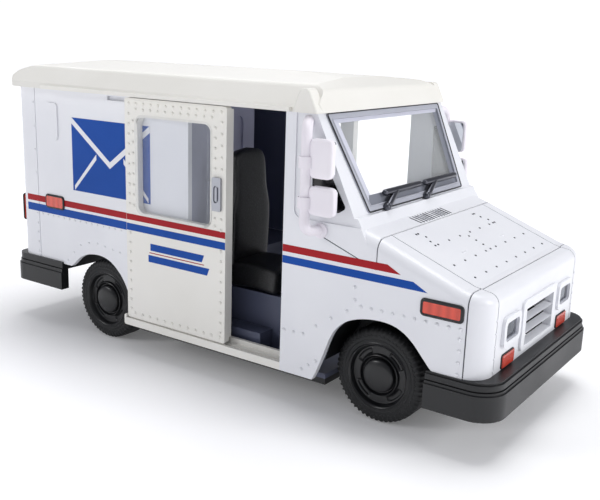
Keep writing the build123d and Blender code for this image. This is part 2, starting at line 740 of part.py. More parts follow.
with BuildPart() as chassis:
    outline = [
        (rear_post_x - 2.6, -chassis_half),
        (wide_rear_x, -chassis_half),
        (wide_rear_x, -ridge_y[0]),
        (firewall_x, -ridge_y[0]),
        (firewall_x, -chassis_half),
        (screw_post_x + 4, -chassis_half),
    ]
    outline += [(x, -y) for x, y in reversed(outline)]
    plan_prism(outline, chassis_bottom_z, chassis_bottom_z + chassis_thickness)
    for axle_x in (front_axle_x, rear_axle_x):
        for side in sides.values():
            block(
                (axle_x - block_half_x, axle_x + block_half_x),
                span(side, *block_y),
                (chassis_bottom_z, block_top_z),
            )
        start = (axle_x, -chassis_half - 1, tyre_radius)
        end = (axle_x, chassis_half + 1, tyre_radius)
        rod(start, end, axle_radius + axle_clearance, Mode.SUBTRACT)
    for x in (screw_post_x, rear_post_x):
        for y in (-screw_post_y, screw_post_y):
            rod((x, y, chassis_bottom_z - 1), (x, y, chassis_bottom_z + 3), pilot_radius + 0.1, Mode.SUBTRACT)
            rod((x, y, chassis_bottom_z - 1), (x, y, chassis_bottom_z + 0.6), 1.7, Mode.SUBTRACT)
save(chassis, "chassis")

with BuildPart() as chassis_screws:
    for x in (screw_post_x, rear_post_x):
        for y in (-screw_post_y, screw_post_y):
            rod((x, y, chassis_bottom_z + 0.1), (x, y, chassis_bottom_z + 0.6), 1.5)
            rod((x, y, chassis_bottom_z + 0.6), (x, y, post_foot_z + 7), screw_radius)
            with Locations((x, y, chassis_bottom_z)):
                Box(2.0, 0.3, 0.7, mode=Mode.SUBTRACT)
                Box(0.3, 2.0, 0.7, mode=Mode.SUBTRACT)
save(chassis_screws, "chassis_screws")


def make_axle(axle_x):
    with BuildPart() as axle:
        end_y = tyre_face_y - 2.2
        rod((axle_x, -end_y, tyre_radius), (axle_x, end_y, tyre_radius), axle_radius)
    return axle


def wheel_ring(axle_x, side, profile, rounds=()):
    """Revolve a (radius, distance out from the middle plane) profile about the axle."""
    face_plane = Plane(origin=(axle_x, 0, tyre_radius), x_dir=(1, 0, 0), z_dir=(0, 0, 1))
    with BuildSketch(face_plane) as section:
        with BuildLine():
            Polyline(*[(r, side * y) for r, y in profile], close=True)
        make_face()
        for corners, radius in rounds:
            ends = [(profile[i][0], side * profile[i][1], 0) for i in corners]
            picked = [section.vertices().sort_by_distance(end)[0] for end in ends]
            fillet(picked, radius)
    revolve(section.sketch, axis=Axis((axle_x, 0, tyre_radius), (0, 1, 0)))


hub_inner_y = tyre_face_y - tyre_width + 0.6
dish_y = tyre_face_y - 1.3
cap_radius = 3.9


def make_hub(axle_x, side):
    with BuildPart() as hub:
        wheel_ring(
            axle_x,
            side,
            [
                (0, hub_inner_y),
                (rim_radius, hub_inner_y),
                (rim_radius, tyre_face_y - 0.1),
                (rim_radius - 0.8, tyre_face_y - 0.1),
                (rim_radius - 1.0, dish_y),
                (cap_radius, dish_y),
                (cap_radius - 0.1, tyre_face_y - 0.5),
                (cap_radius - 0.6, tyre_face_y - 0.5),
                (cap_radius - 1.6, tyre_face_y + 0.1),
                (0, tyre_face_y + 0.3),
            ],
        )
        bore_start = (axle_x, side * (hub_inner_y - 1), tyre_radius)
        rod(bore_start, (axle_x, side * (tyre_face_y - 2.2), tyre_radius), axle_radius, Mode.SUBTRACT)
        for quarter in range(4):
            with Locations(Location((axle_x, side * dish_y, tyre_radius), (0, 45 + 90 * quarter, 0))):
                with Locations((0, 0, (rim_radius - 1.0 + cap_radius) / 2)):
                    Box(3.2, 1.4, 0.8, mode=Mode.SUBTRACT)
    return hub


def make_tyre(axle_x, side):
    inner_y = tyre_face_y - tyre_width
    with BuildPart() as tyre:
        wheel_ring(
            axle_x,
            side,
            [
                (rim_radius, inner_y + 0.3),
                (tyre_radius - 1.0, inner_y),
                (tyre_radius, inner_y + 1.0),
                (tyre_radius, tyre_face_y - 1.0),
                (tyre_radius - 1.0, tyre_face_y),
                (rim_radius, tyre_face_y - 0.3),
            ],
        )
    return tyre


for axle_name, axle_x in (("front", front_axle_x), ("rear", rear_axle_x)):
    save(make_axle(axle_x), f"{axle_name}_axle")
    for side_name, side in sides.items():
        save(make_hub(axle_x, side), f"hub_{axle_name}_{side_name}")
        save(make_tyre(axle_x, side), f"tyre_{axle_name}_{side_name}")

# ---------------------------------------------------------------- interior
tub_half = ridge_y[0]
riser_x = doorway_rear_x - 1.4
seat_y = -11.5
seat_width = 11.0
seat_base_z = 17.6

with BuildPart() as interior_tub:
    block((riser_x - 1.0, firewall_x), (-tub_half, tub_half), (post_foot_z, floor_z))
    block((firewall_x - 1.0, firewall_x), (-13.2, 13.2), (post_foot_z, 30.5))
    block((firewall_x - 1.0, firewall_x), (-cavity_half, cavity_half), (22.0, 30.5))
    block((riser_x - 1.0, riser_x), (-tub_half, tub_half), (post_foot_z, cargo_floor_z))
    block((rear_x + wall, riser_x), (-cargo_inner, cargo_inner), (cargo_floor_z - 1.0, cargo_floor_z))
    # seat plinth and entry step on the driver's side
    block((riser_x, 13.5), (seat_y - 4.5, seat_y + 8.0), (floor_z, seat_base_z))
    block((0.4, 10.6), (seat_y - 8.5, seat_y - 4.5), (floor_z, 10.6))
    # inner wings over the front half of the rear tyres
    for side in sides.values():
        block((rear_axle_x + 2, rear_axle_x + 11), span(side, 12.0, ridge_y[0]), (14.5, cargo_floor_z - 0.5))
    well_end = (rear_axle_x, tub_half + 1, tyre_radius)
    rod((rear_axle_x, -tub_half - 1, tyre_radius), well_end, tyre_radius + 1.0, Mode.SUBTRACT)
    for y in (-screw_post_y, screw_post_y):
        rod((rear_post_x, y, post_foot_z), (rear_post_x, y, cargo_floor_z - 0.5), screw_post_radius)
        rod((rear_post_x, y, post_foot_z - 1), (rear_post_x, y, post_foot_z + 9), pilot_radius, Mode.SUBTRACT)
save(interior_tub, "interior_tub")

with BuildPart() as partition:
    block((riser_x - 1.0, riser_x), (-cargo_inner, 0.5), (cargo_floor_z, roof_base_z - 0.2))
    rounded_plate_x(-10.0, 45.0, 13.5, 13.0, riser_x - 0.35, riser_x + 1, 1.6, mode=Mode.SUBTRACT)
save(partition, "partition")

with BuildPart() as driver_seat:
    cushion = [(-1.5, seat_base_z), (12.5, seat_base_z), (12.5, 22.6), (11.0, 23.4), (-1.5, 23.4)]
    side_prism(cushion, seat_y - seat_width / 2, seat_y + seat_width / 2, rounds=[((2, 3), 0.8)])
    back = [(-2.4, seat_base_z), (1.2, 23.0), (2.6, 31.0), (1.6, 37.0), (0.6, 45.8), (-2.0, 45.8), (-4.2, 24.0)]
    side_prism(back, seat_y - 4.6, seat_y + 4.6, rounds=[((4, 5), 0.9)])
save(driver_seat, "driver_seat")

dash_x = (firewall_x - 6.5, firewall_x + 6.6)
column_radius = 0.7
wheel_centre = Vector(dash_x[0] - 3.9, seat_y, 33.6)
column_foot = Vector(dash_x[0] + 1.2, seat_y, 30.8)
column_axis = (wheel_centre - column_foot).normalized()
with BuildPart() as dashboard:
    profile = [
        (firewall_x - 1.0, 27.0),
        (dash_x[0] + 2.5, 27.0),
        (dash_x[0], 30.5),
        (dash_x[0] + 1.5, 33.6),
        (dash_x[1], 34.6),
        (dash_x[1], 30.5),
        (firewall_x - 1.0, 30.5),
    ]
    side_prism(profile, -cavity_half, cavity_half)
    block((dash_x[0] + 1.5, firewall_x), (seat_y - 4.5, seat_y + 4.5), (33.0, 36.2))
    rod(tuple(column_foot), tuple(wheel_centre), column_radius, Mode.SUBTRACT)
save(dashboard, "dashboard")

wheel_radius = 4.2
rim_half = 0.45             # half thickness of the steering wheel's rim
with BuildPart() as steering_wheel:
    with BuildSketch(Plane(origin=wheel_centre, x_dir=(0, 1, 0), z_dir=column_axis)) as face:
        Circle(wheel_radius + rim_half)
        Circle(wheel_radius - rim_half, mode=Mode.SUBTRACT)
        Circle(1.3)
        Rectangle(2 * wheel_radius, 0.8)
        with Locations((0, wheel_radius / 2)):
            Rectangle(0.8, wheel_radius)
    extrude(face.sketch, amount=rim_half, both=True)
    rod(tuple(column_foot), tuple(wheel_centre), column_radius)
save(steering_wheel, "steering_wheel")

# ---------------------------------------------------------------- mirrors
tube_radius = 0.95
collar_radius = 1.35
tube_x = 25.3
tube_y = 27.3
head_y = (26.0, 27.6)
heads = {"upper": {"x": (26.0, 30.7), "z": (44.7, 51.6)}, "lower": {"x": (26.0, 31.4), "z": (38.2, 43.4)}}


def make_mirror_bracket(side):
    with BuildPart() as bracket:
        with BuildLine() as route:
            FilletPolyline(
                (27.2, side * (cab_half - 1.0), 35.0),
                (tube_x, side * tube_y, 35.2),
                (tube_x, side * tube_y, 53.4),
                (23.0, side * (cab_half - 1.0), 54.3),
                radius=1.5,
            )
        with BuildSketch(Plane(origin=route.line @ 0, z_dir=route.line % 0)) as section:
            Circle(tube_radius)
        sweep(section.sketch, path=route.line)
        block((20, 31), span(side, cab_half - 3, cab_half), (32, recess_z), mode=Mode.SUBTRACT)
        block((20, 31), span(side, cab_half - 3, cab_half - recess_depth), (recess_z, 58), mode=Mode.SUBTRACT)
        rod((27.0, side * cab_half, 35.0), (27.0, side * (cab_half + 0.35), 35.0), 1.4)
        for middle_z in (47.4, 40.3):
            bottom, top = (tube_x, side * tube_y, middle_z - 1.0), (tube_x, side * tube_y, middle_z + 1.0)
            rod(bottom, top, collar_radius)
    return bracket


def make_mirror_head(side, head):
    with BuildPart() as shell:
        side_prism(
            rectangle(*head["x"], *head["z"]),
            *span(side, *head_y),
            rounds=[((0, 1, 2, 3), 0.7)],
        )
        bottom, top = (tube_x, side * tube_y, head["z"][0] - 5), (tube_x, side * tube_y, head["z"][1] + 5)
        rod(bottom, top, collar_radius, Mode.SUBTRACT)
    return shell


def make_mirror_glass(side, head):
    x0, x1 = head["x"]
    z0, z1 = head["z"]
    low, high = span(side, head_y[0] - 0.3, head_y[0])
    with BuildPart() as glass:
        side_prism(rectangle(x0 + 0.9, x1 - 0.4, z0 + 0.4, z1 - 0.4), low, high, rounds=[((0, 1, 2, 3), 0.5)])
    return glass


for side_name, side in sides.items():
    save(make_quarter_glass(side), f"quarter_glass_{side_name}")
    save(make_sill(side), f"sill_{side_name}")
    save(make_door(side), f"sliding_door_{side_name}")
    save(make_door_window(side), f"door_window_{side_name}")
    save(make_door_handle(side), f"door_handle_{side_name}")
    save(make_headlight(side), f"headlight_lens_{side_name}")
    save(make_turn_lamp(side), f"turn_lamp_{side_name}")
    save(make_marker(side, front_marker, cab_half), f"front_marker_{side_name}")
    save(make_marker(side, rear_marker, cargo_half), f"rear_marker_{side_name}")
    save(make_tail_lamp(side), f"tail_lamp_{side_name}")
    save(make_mirror_bracket(side), f"mirror_bracket_{side_name}")
    for head_name, head in heads.items():
        save(make_mirror_head(side, head), f"mirror_head_{head_name}_{side_name}")
        save(make_mirror_glass(side, head), f"mirror_glass_{head_name}_{side_name}")

print(f"door travel {door_travel:.2f} mm")
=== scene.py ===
# %% [markdown]
# # A scale model of a mail delivery truck
#
# The real object is a small model of a right-hand-drive delivery van, moulded and cast in
# white, with black plastic bumpers and wheels, two sliding doors that move, and printed
# red and blue stripes. It is about 125 mm long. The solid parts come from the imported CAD
# frame. This file adds their finishes and the small detail that gives a model its life:
# rivets, printed stripes, tread, lamp frames, grained plastic.

# %% Load the frame
import math

import bmesh
import bpy
import numpy as np
from mathutils import Matrix


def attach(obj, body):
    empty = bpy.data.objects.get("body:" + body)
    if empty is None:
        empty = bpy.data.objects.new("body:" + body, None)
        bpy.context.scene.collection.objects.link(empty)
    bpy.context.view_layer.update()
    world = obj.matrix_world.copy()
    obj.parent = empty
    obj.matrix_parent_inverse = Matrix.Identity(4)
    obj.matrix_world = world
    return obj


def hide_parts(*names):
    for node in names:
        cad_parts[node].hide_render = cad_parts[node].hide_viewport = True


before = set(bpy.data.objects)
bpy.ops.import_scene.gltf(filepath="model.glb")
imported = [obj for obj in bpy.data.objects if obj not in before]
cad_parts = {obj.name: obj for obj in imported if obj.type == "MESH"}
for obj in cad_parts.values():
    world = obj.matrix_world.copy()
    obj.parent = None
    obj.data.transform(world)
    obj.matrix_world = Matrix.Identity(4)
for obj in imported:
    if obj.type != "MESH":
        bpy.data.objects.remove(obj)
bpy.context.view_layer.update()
MM = 0.001

# %% [markdown]
# ## The camera
#
# A product shot of a small model is taken from close by, a little above the hood, with a
# normal lens. The camera is given as the place it stands and the three turns of a tripod
# head: azimuth round the object, elevation above the floor, and a slight roll. Its three
# axes are worked out from those angles and put straight into its matrix, in metres.

# %% Camera
azimuth, elevation, roll = np.radians([34.62, 14.07, 1.87])
away = np.array(
    [
        math.sin(azimuth) * math.cos(elevation),
        -math.cos(azimuth) * math.cos(elevation),
        math.sin(elevation),
    ]
)
level = np.cross([0, 0, 1], away)
level /= np.linalg.norm(level)
upright = np.cross(away, level)
sideways = math.cos(roll) * level + math.sin(roll) * upright
overhead = math.cos(roll) * upright - math.sin(roll) * level
camera = bpy.data.objects.new("camera", bpy.data.cameras.new("camera"))
bpy.context.scene.collection.objects.link(camera)
stand = [0.10768, -0.14761, 0.06823]
rows = [[sideways[i], overhead[i], away[i], stand[i]] for i in range(3)]
camera.matrix_world = Matrix(rows + [[0, 0, 0, 1]])
camera.data.sensor_width = 36.0
camera.data.lens = 50.9
camera.data.clip_start = 0.01
bpy.context.scene.camera = camera

# %% [markdown]
# ## Colour and nodes
#
# Colours are picked as sRGB hex values, the way a paint chart or a screen gives them, but
# a shader works in linear light. One function turns one into the other. A second one adds
# a node, sets its settings, and fills or links its inputs, so that each finish below reads
# as a short list.

# %% Helpers for materials
def linear(code, alpha=1.0):
    """sRGB hex to linear: c/12.92 below 0.04045, else ((c + 0.055)/1.055) to the power 2.4."""
    srgb = np.array([int(code[i : i + 2], 16) for i in (1, 3, 5)]) / 255
    light = np.where(srgb <= 0.04045, srgb / 12.92, ((srgb + 0.055) / 1.055) ** 2.4)
    return (*light.tolist(), alpha)


def node(tree, kind, inputs=(), **settings):
    """Add a node, set its settings, then give each named input a value or a link."""
    made = tree.nodes.new(kind)
    for key, value in settings.items():
        setattr(made, key, value)
    for name, value in dict(inputs).items():
        if isinstance(value, bpy.types.NodeSocket):
            tree.links.new(value, made.inputs[name])
        else:
            made.inputs[name].default_value = value
    return made


def start_material(name):
    """A new material, with its empty node tree and the object's own coordinates in metres."""
    material = bpy.data.materials.new(name)
    material.use_nodes = True
    tree = material.node_tree
    tree.nodes.clear()
    coordinates = node(tree, "ShaderNodeTexCoord").outputs["Object"]
    return material, tree, coordinates


def finish_material(tree, inputs):
    """Put the principled shader and the output at the end of a tree."""
    shader = node(tree, "ShaderNodeBsdfPrincipled", inputs)
    node(tree, "ShaderNodeOutputMaterial", {"Surface": shader.outputs["BSDF"]})


# %% [markdown]
# ## Moulded plastic and sprayed enamel
#
# Most of the model is one of these two. Both look like one flat colour, but their gloss is
# never perfect: sprayed enamel has the soft waves called orange peel, about half a
# millimetre apart, and moulded plastic copies the spark-eroded grain of its mould. A noise
# texture at that real size drives a bump, and a second, broader one varies the roughness
# and the tone a little, as handling and flow marks do.

# %% Moulded and sprayed finishes
def moulded(name, colour, shade, roughness, grain_mm, depth_mm, **shader):
    """One colour, its slightly darker shade in broad clouds, and a fine bump."""
    material, tree, place = start_material(name)
    grain = node(tree, "ShaderNodeTexNoise", {"Vector": place, "Scale": 1 / (grain_mm * MM), "Detail": 3.0})
    clouds = node(tree, "ShaderNodeTexNoise", {"Vector": place, "Scale": 1 / (14 * MM), "Detail": 2.0})
    bump = node(
        tree,
        "ShaderNodeBump",
        {"Height": grain.outputs["Fac"], "Distance": depth_mm * MM, "Strength": 1.0},
    )
    tone = node(tree, "ShaderNodeValToRGB", {"Fac": clouds.outputs["Fac"]})
    tone.color_ramp.elements[0].position = 0.25
    tone.color_ramp.elements[0].color = linear(shade)
    tone.color_ramp.elements[1].position = 0.75
    tone.color_ramp.elements[1].color = linear(colour)
    gloss = node(
        tree,
        "ShaderNodeMapRange",
        {
            "Value": clouds.outputs["Fac"],
            "From Min": 0.25,
            "From Max": 0.75,
            "To Min": roughness * 1.15,
            "To Max": roughness * 0.88,
        },
    )
    inputs = {
        "Base Color": tone.outputs["Color"],
        "Roughness": gloss.outputs["Result"],
        "Normal": bump.outputs["Normal"],
    }
    inputs.update(shader)
    finish_material(tree, inputs)
    return material


# White enamel, sprayed over the cast body: cool, with a lacquer's clear highlights.
body_enamel = moulded("white_enamel", "#ECEDF1", "#E5E6EB", 0.38, 0.6, 0.004, **{"Coat Weight": 0.12})
# The doors and the roof are moulded ABS, a touch warmer and flatter than the enamel.
door_abs = moulded("ivory_abs", "#EFEDE7", "#E9E7E0", 0.32, 0.5, 0.005)
# The mirrors are softer white plastic that lets a little light into it.
mirror_plastic = moulded("soft_white_plastic", "#F3EFF4", "#EBE6EE", 0.38, 0.4, 0.004)
# Bumpers: charcoal ABS from a mould with a fine spark-eroded grain.
bumper_abs = moulded("charcoal_abs", "#1A1B1D", "#151618", 0.42, 0.25, 0.010)
# Wheels: the same plastic, in a glossier black.
hub_abs = moulded("black_gloss_abs", "#101114", "#0C0D0F", 0.3, 0.3, 0.003)
# The cab's inside is a blue-grey plastic tray with a satin grain; the load space is lighter.
tray_plastic = moulded("slate_plastic", "#555A70", "#4E5367", 0.48, 0.35, 0.008)
lining_plastic = moulded("lining_plastic", "#7E83A0", "#767B97", 0.5, 0.35, 0.006)
divider_plastic = moulded("grey_plastic", "#A3A4BC", "#999AB2", 0.5, 0.35, 0.006)
trim_black = moulded("trim_black", "#101114", "#0C0D0F", 0.35, 0.3, 0.004)
gasket_rubber = moulded("gasket_rubber", "#B4B6C0", "#AAACB6", 0.5, 0.3, 0.004)
# Bands on the windshield: painted shade in grey, painted light in pale grey.
painted_shade_band = moulded("painted_shade_band", "#7F828C", "#777A84", 0.4, 0.4, 0.002)
painted_light_finish = moulded("painted_light_band", "#D2D3DF", "#CBCCD9", 0.4, 0.4, 0.002)
# Painted shadow for the panel seams and the cowl slits.
seam_shadow = moulded("seam_shadow", "#54565D", "#4C4E55", 0.7, 0.3, 0.002)
# Hood rivets: dark grey as painted shade, for tiny domes that read dark when lit from behind.
hood_rivet = moulded("rivet_shade_enamel", "#3C3E44", "#36383E", 0.4, 0.3, 0.002)
quarter_black = moulded("smoked_acrylic", "#0D0D10", "#0B0B0D", 0.12, 2.0, 0.001)
red_print = moulded("red_print", "#A8141F", "#9F121C", 0.4, 0.5, 0.002, **{"Specular IOR Level": 0.2})
blue_print = moulded("blue_print", "#004AA6", "#00449A", 0.4, 0.5, 0.002, **{"Specular IOR Level": 0.2})

# %% [markdown]
# ## Metals
#
# The wipers and the door handles are plastic with a vapour-deposited metal film, and the
# axles are drawn steel wire. A metal needs no IOR of its own. Drawn wire shows fine lines
# along it, so its noise is stretched by a mapping node along the axle.

# %% Metals
def metal(name, colour, roughness, stretch, grain_mm, depth_mm):
    """Metal with a fine grain, stretched along an axis by dividing that coordinate."""
    material, tree, place = start_material(name)
    drawn = node(tree, "ShaderNodeMapping", {"Vector": place, "Scale": stretch})
    grain = node(
        tree,
        "ShaderNodeTexNoise",
        {"Vector": drawn.outputs["Vector"], "Scale": 1 / (grain_mm * MM), "Detail": 2.0},
    )
    bump = node(
        tree, "ShaderNodeBump", {"Height": grain.outputs["Fac"], "Distance": depth_mm * MM, "Strength": 1.0}
    )
    finish_material(
        tree,
        {
            "Base Color": linear(colour),
            "Metallic": 1.0,
            "Roughness": roughness,
            "Normal": bump.outputs["Normal"],
        },
    )
    return material


axle_steel = metal("drawn_steel", "#B8B9BC", 0.3, (1, 0.05, 1), 0.08, 0.004)
wiper_film = metal("dark_metal_film", "#5C5D64", 0.28, (1, 1, 1), 0.5, 0.002)
handle_film = metal("silver_film", "#A5A7AE", 0.33, (1, 1, 1), 0.4, 0.004)
mirror_film = metal("mirror_film", "#D9DCE0", 0.06, (1, 1, 1), 2.0, 0.0005)

# %% [markdown]
# ## Clear and coloured plastics
#
# The windows are clear polystyrene, which on so small a model is seen through almost
# without bending the view, so it is drawn as a nearly open film with a sharp gloss. The
# lamps are solid orange-red plastic. A wave texture draws the broad facets of the side
# lamps, 1.7 mm wide, and the fine ribs of the turn lamps, a third of a millimetre wide,
# with painted shade in their valleys. The seat is black plastic with a moulded leather
# grain, drawn by cells with painted shade in the creases between them.

# %% Clear, ribbed and grained plastics
def window(name, colour, alpha, roughness):
    """Clear moulding: mostly open, with the gloss of its skin."""
    material, tree, place = start_material(name)
    flow = node(tree, "ShaderNodeTexNoise", {"Vector": place, "Scale": 1 / (9 * MM), "Detail": 1.0})
    bump = node(
        tree, "ShaderNodeBump", {"Height": flow.outputs["Fac"], "Distance": 0.02 * MM, "Strength": 0.5}
    )
    finish_material(
        tree,
        {
            "Base Color": linear(colour),
            "Alpha": alpha,
            "Roughness": roughness,
            "Normal": bump.outputs["Normal"],
        },
    )
    return material


def ribbed(name, colour, dark, rib_mm, direction, roughness):
    """Lamp plastic: straight ribs across one axis, with painted shade in their valleys."""
    material, tree, place = start_material(name)
    ribs = node(
        tree,
        "ShaderNodeTexWave",
        {"Vector": place, "Scale": 0.314 / (rib_mm * MM)},
        wave_type="BANDS",
        bands_direction=direction,
    )
    tone = node(tree, "ShaderNodeValToRGB", {"Fac": ribs.outputs["Fac"]})
    tone.color_ramp.elements[0].color = linear(dark)
    tone.color_ramp.elements[1].color = linear(colour)
    bump = node(
        tree, "ShaderNodeBump", {"Height": ribs.outputs["Fac"], "Distance": 0.05 * MM, "Strength": 0.7}
    )
    finish_material(
        tree,
        {
            "Base Color": tone.outputs["Color"],
            "Roughness": roughness,
            "Coat Weight": 0.5,
            "Normal": bump.outputs["Normal"],
        },
    )
    return material


def grained(name, colour, crease, cell_mm, depth_mm, roughness):
    """Moulded leather grain: cells with painted shade in the creases between them."""
    material, tree, place = start_material(name)
    cells = node(
        tree,
        "ShaderNodeTexVoronoi",
        {"Vector": place, "Scale": 1 / (cell_mm * MM)},
        feature="DISTANCE_TO_EDGE",
    )
    tone = node(tree, "ShaderNodeValToRGB", {"Fac": cells.outputs["Distance"]})
    tone.color_ramp.elements[0].color = linear(crease)
    tone.color_ramp.elements[1].position = 0.25
    tone.color_ramp.elements[1].color = linear(colour)
    bump = node(
        tree,
        "ShaderNodeBump",
        {"Height": cells.outputs["Distance"], "Distance": depth_mm * MM, "Strength": 1.0},
    )
    finish_material(
        tree,
        {"Base Color": tone.outputs["Color"], "Roughness": roughness, "Normal": bump.outputs["Normal"]},
    )
    return material


windshield_clear = window("clear_polystyrene", "#F6FAFC", 0.2, 0.05)
door_clear = window("door_polystyrene", "#DDE3EA", 0.09, 0.06)
lamp_red = ribbed("orange_red_lens", "#E04A34", "#C8402B", 1.7, "X", 0.25)
lamp_front_red = ribbed("orange_red_front_lens", "#E04A34", "#C23A26", 0.36, "Y", 0.25)
lamp_grey = ribbed("grey_lens", "#8F939B", "#4E525A", 0.6, "Y", 0.16)
seat_grain = grained("grained_black_plastic", "#1B1C1F", "#060607", 0.55, 0.03, 0.42)
tyre_rubber = grained("tyre_rubber", "#17181A", "#101113", 0.5, 0.006, 0.62)

# %% [markdown]
# ## Surfaces from arrays
#
# Each new piece is a grid of points worked out from two parameters, then turned into faces
# by joining neighbours. A grid can close on itself in either direction: a tube closes round
# its section, a ring closes along its path as well.

# %% Grids, slabs and tubes
def grid_faces(rows, columns, close_rows=False, close_columns=False):
    """Quads of a grid whose point (i, j) is number i*columns + j."""
    i = np.arange(rows if close_rows else rows - 1)
    j = np.arange(columns if close_columns else columns - 1)
    i, j = np.meshgrid(i, j, indexing="ij")
    after_i, after_j = (i + 1) % rows, (j + 1) % columns
    corners = [i * columns + j, i * columns + after_j, after_i * columns + after_j, after_i * columns + j]
    return np.stack(corners, axis=-1).reshape(-1, 4)


def surface(points, **closing):
    """A (rows, columns, 3) array of points with its quads."""
    rows, columns = points.shape[:2]
    return points.reshape(-1, 3), grid_faces(rows, columns, **closing)


def make_piece(name, shells, material, body, sharp_degrees=35):
    """Join shells of (points in mm, faces) into one closed, smooth-shaded mesh on a body."""
    corners, faces, count = [], [], 0
    for points, quads in shells:
        corners.append(points)
        faces.extend([tuple(int(k) + count for k in face) for face in quads])
        count += len(points)
    mesh = bpy.data.meshes.new(name)
    mesh.from_pydata((np.concatenate(corners) * MM).tolist(), [], faces)
    cleaner = bmesh.new()
    cleaner.from_mesh(mesh)
    bmesh.ops.remove_doubles(cleaner, verts=cleaner.verts, dist=1e-7)
    bmesh.ops.dissolve_degenerate(cleaner, edges=cleaner.edges, dist=1e-8)
    bmesh.ops.recalc_face_normals(cleaner, faces=cleaner.faces)
    cleaner.to_mesh(mesh)
    cleaner.free()
    mesh.shade_smooth()
    mesh.set_sharp_from_angle(angle=math.radians(sharp_degrees))
    made = bpy.data.objects.new(name, mesh)
    bpy.context.scene.collection.objects.link(made)
    mesh.materials.append(material)
    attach(made, body)
    print(f"{name}: {len(mesh.polygons)} faces")
    return made


def slab(front, back):
    """Closed shell between two grids of the same shape: both faces and the rim between."""
    rows, columns = front.shape[:2]
    number = np.arange(rows * columns).reshape(rows, columns)
    rim = np.concatenate([number[0, :], number[1:, -1], number[-1, -2::-1], number[-2:0:-1, 0]])
    after = np.roll(rim, -1)
    edge = np.stack([rim, after, after + rows * columns, rim + rows * columns], axis=-1)
    faces = np.concatenate([grid_faces(rows, columns), grid_faces(rows, columns) + rows * columns, edge])
    return np.concatenate([front.reshape(-1, 3), back.reshape(-1, 3)]), faces


def tube(path, radius, axis_hint, sides=12, closed=False):
    """Circle of a radius carried along a path: path + r(cos v N + sin v B), B across the hint."""
    path = np.asarray(path, float)
    radius = np.broadcast_to(radius, len(path))
    if closed:
        along = np.roll(path, -1, axis=0) - np.roll(path, 1, axis=0)
    else:
        along = np.gradient(path, axis=0)
    along /= np.linalg.norm(along, axis=1, keepdims=True)
    across = np.cross(along, axis_hint)
    across /= np.linalg.norm(across, axis=1, keepdims=True)
    upward = np.cross(across, along)
    turn = np.linspace(0, 2 * np.pi, sides, endpoint=False)
    ring = np.cos(turn)[None, :, None] * across[:, None] + np.sin(turn)[None, :, None] * upward[:, None]
    points = path[:, None] + radius[:, None, None] * ring
    points, faces = surface(points, close_rows=closed, close_columns=True)
    if closed:
        return points, faces
    last = len(path) * sides
    caps = [tuple(range(sides)), tuple(range(last - sides, last))]
    return points, list(map(tuple, faces)) + caps


def rounded_ends(start, end, radius, steps=6):
    """Path and radii of a bar with hemispherical ends: r*sqrt(1 - t*t) near each end."""
    start, end = np.asarray(start, float), np.asarray(end, float)
    direction = (end - start) / np.linalg.norm(end - start)
    angle = np.linspace(np.pi / 2 * 0.94, 0, steps)
    lead = start + direction * radius * (1 - np.sin(angle))[:, None]
    tail = end - direction * radius * (1 - np.sin(angle))[::-1, None]
    radii = radius * np.cos(angle)
    return np.concatenate([lead, tail]), np.concatenate([radii, radii[::-1]])


def rounded_loop(corners, radius, steps=6):
    """Closed plane outline with an arc of a radius at each corner."""
    corners = np.asarray(corners, float)
    radius = np.broadcast_to(radius, len(corners))
    outline = []
    for k, corner in enumerate(corners):
        before = corners[k - 1] - corner
        after = corners[(k + 1) % len(corners)] - corner
        before /= np.linalg.norm(before)
        after /= np.linalg.norm(after)
        half = math.acos(np.clip(np.dot(before, after), -1, 1)) / 2
        middle = (before + after) / np.linalg.norm(before + after)
        centre = corner + middle * radius[k] / math.sin(half)
        first = corner + before * radius[k] / math.tan(half) - centre
        last = corner + after * radius[k] / math.tan(half) - centre
        t = np.linspace(0, 1, steps)[:, None]
        sweep = math.pi - 2 * half
        turned = np.sin((1 - t) * sweep) * first + np.sin(t * sweep) * last
        outline.append(centre + turned / math.sin(sweep))
    return np.concatenate(outline)


def box_corners(centre, width, height):
    """Corners of a rectangle, anticlockwise from its lower left."""
    a, b = width / 2, height / 2
    return np.array([[-a, -b], [a, -b], [a, b], [-a, b]]) + centre


sides = {"right": -1, "left": 1}

# %% [markdown]
# ## Finishes for the CAD parts
#
# Parts whose shape is right as it is keep their mesh and only get a finish. The table
# below goes from a finish to the parts that wear it.

# %% Finishes on the CAD parts
worn_by = {
    body_enamel: ["cab_body", "cargo_body", "rear_shutter"],
    door_abs: ["roof_cap", "sliding_door_right", "sliding_door_left", "sill_right", "sill_left"],
    bumper_abs: ["front_bumper", "rear_bumper", "chassis"],
    tray_plastic: ["interior_tub", "dashboard"],
    divider_plastic: ["partition"],
    trim_black: ["steering_wheel", "shutter_handle"],
    mirror_plastic: ["mirror_bracket_right", "mirror_bracket_left"],
    mirror_film: [f"mirror_glass_{level}_{side}" for level in ("upper", "lower") for side in sides],
    axle_steel: ["front_axle", "rear_axle", "chassis_screws"],
    gasket_rubber: ["windshield_gasket"],
    windshield_clear: ["windshield"],
    door_clear: ["door_window_right", "door_window_left"],
    quarter_black: ["quarter_glass_right", "quarter_glass_left"],
    handle_film: ["door_handle_right", "door_handle_left"],
    lamp_red: [f"{lamp}_{side}" for lamp in ("front_marker", "rear_marker") for side in sides],
    lamp_front_red: [f"{lamp}_{side}" for lamp in ("turn_lamp", "tail_lamp") for side in sides],
}
for finish, names in worn_by.items():
    for name in names:
        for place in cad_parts[name].material_slots:
            place.material = finish
print("CAD parts finished:", sum(len(names) for names in worn_by.values()))

# %% [markdown]
# ## Tyres
#
# A model's tyre is a soft black ring with short lugs moulded round both shoulders and a
# plain band between them. Its surface is a profile of radius against width, turned about
# the axle, with the lugs added as a wave in the angle that only acts at the shoulders.
# The sidewall has two thin raised rings.

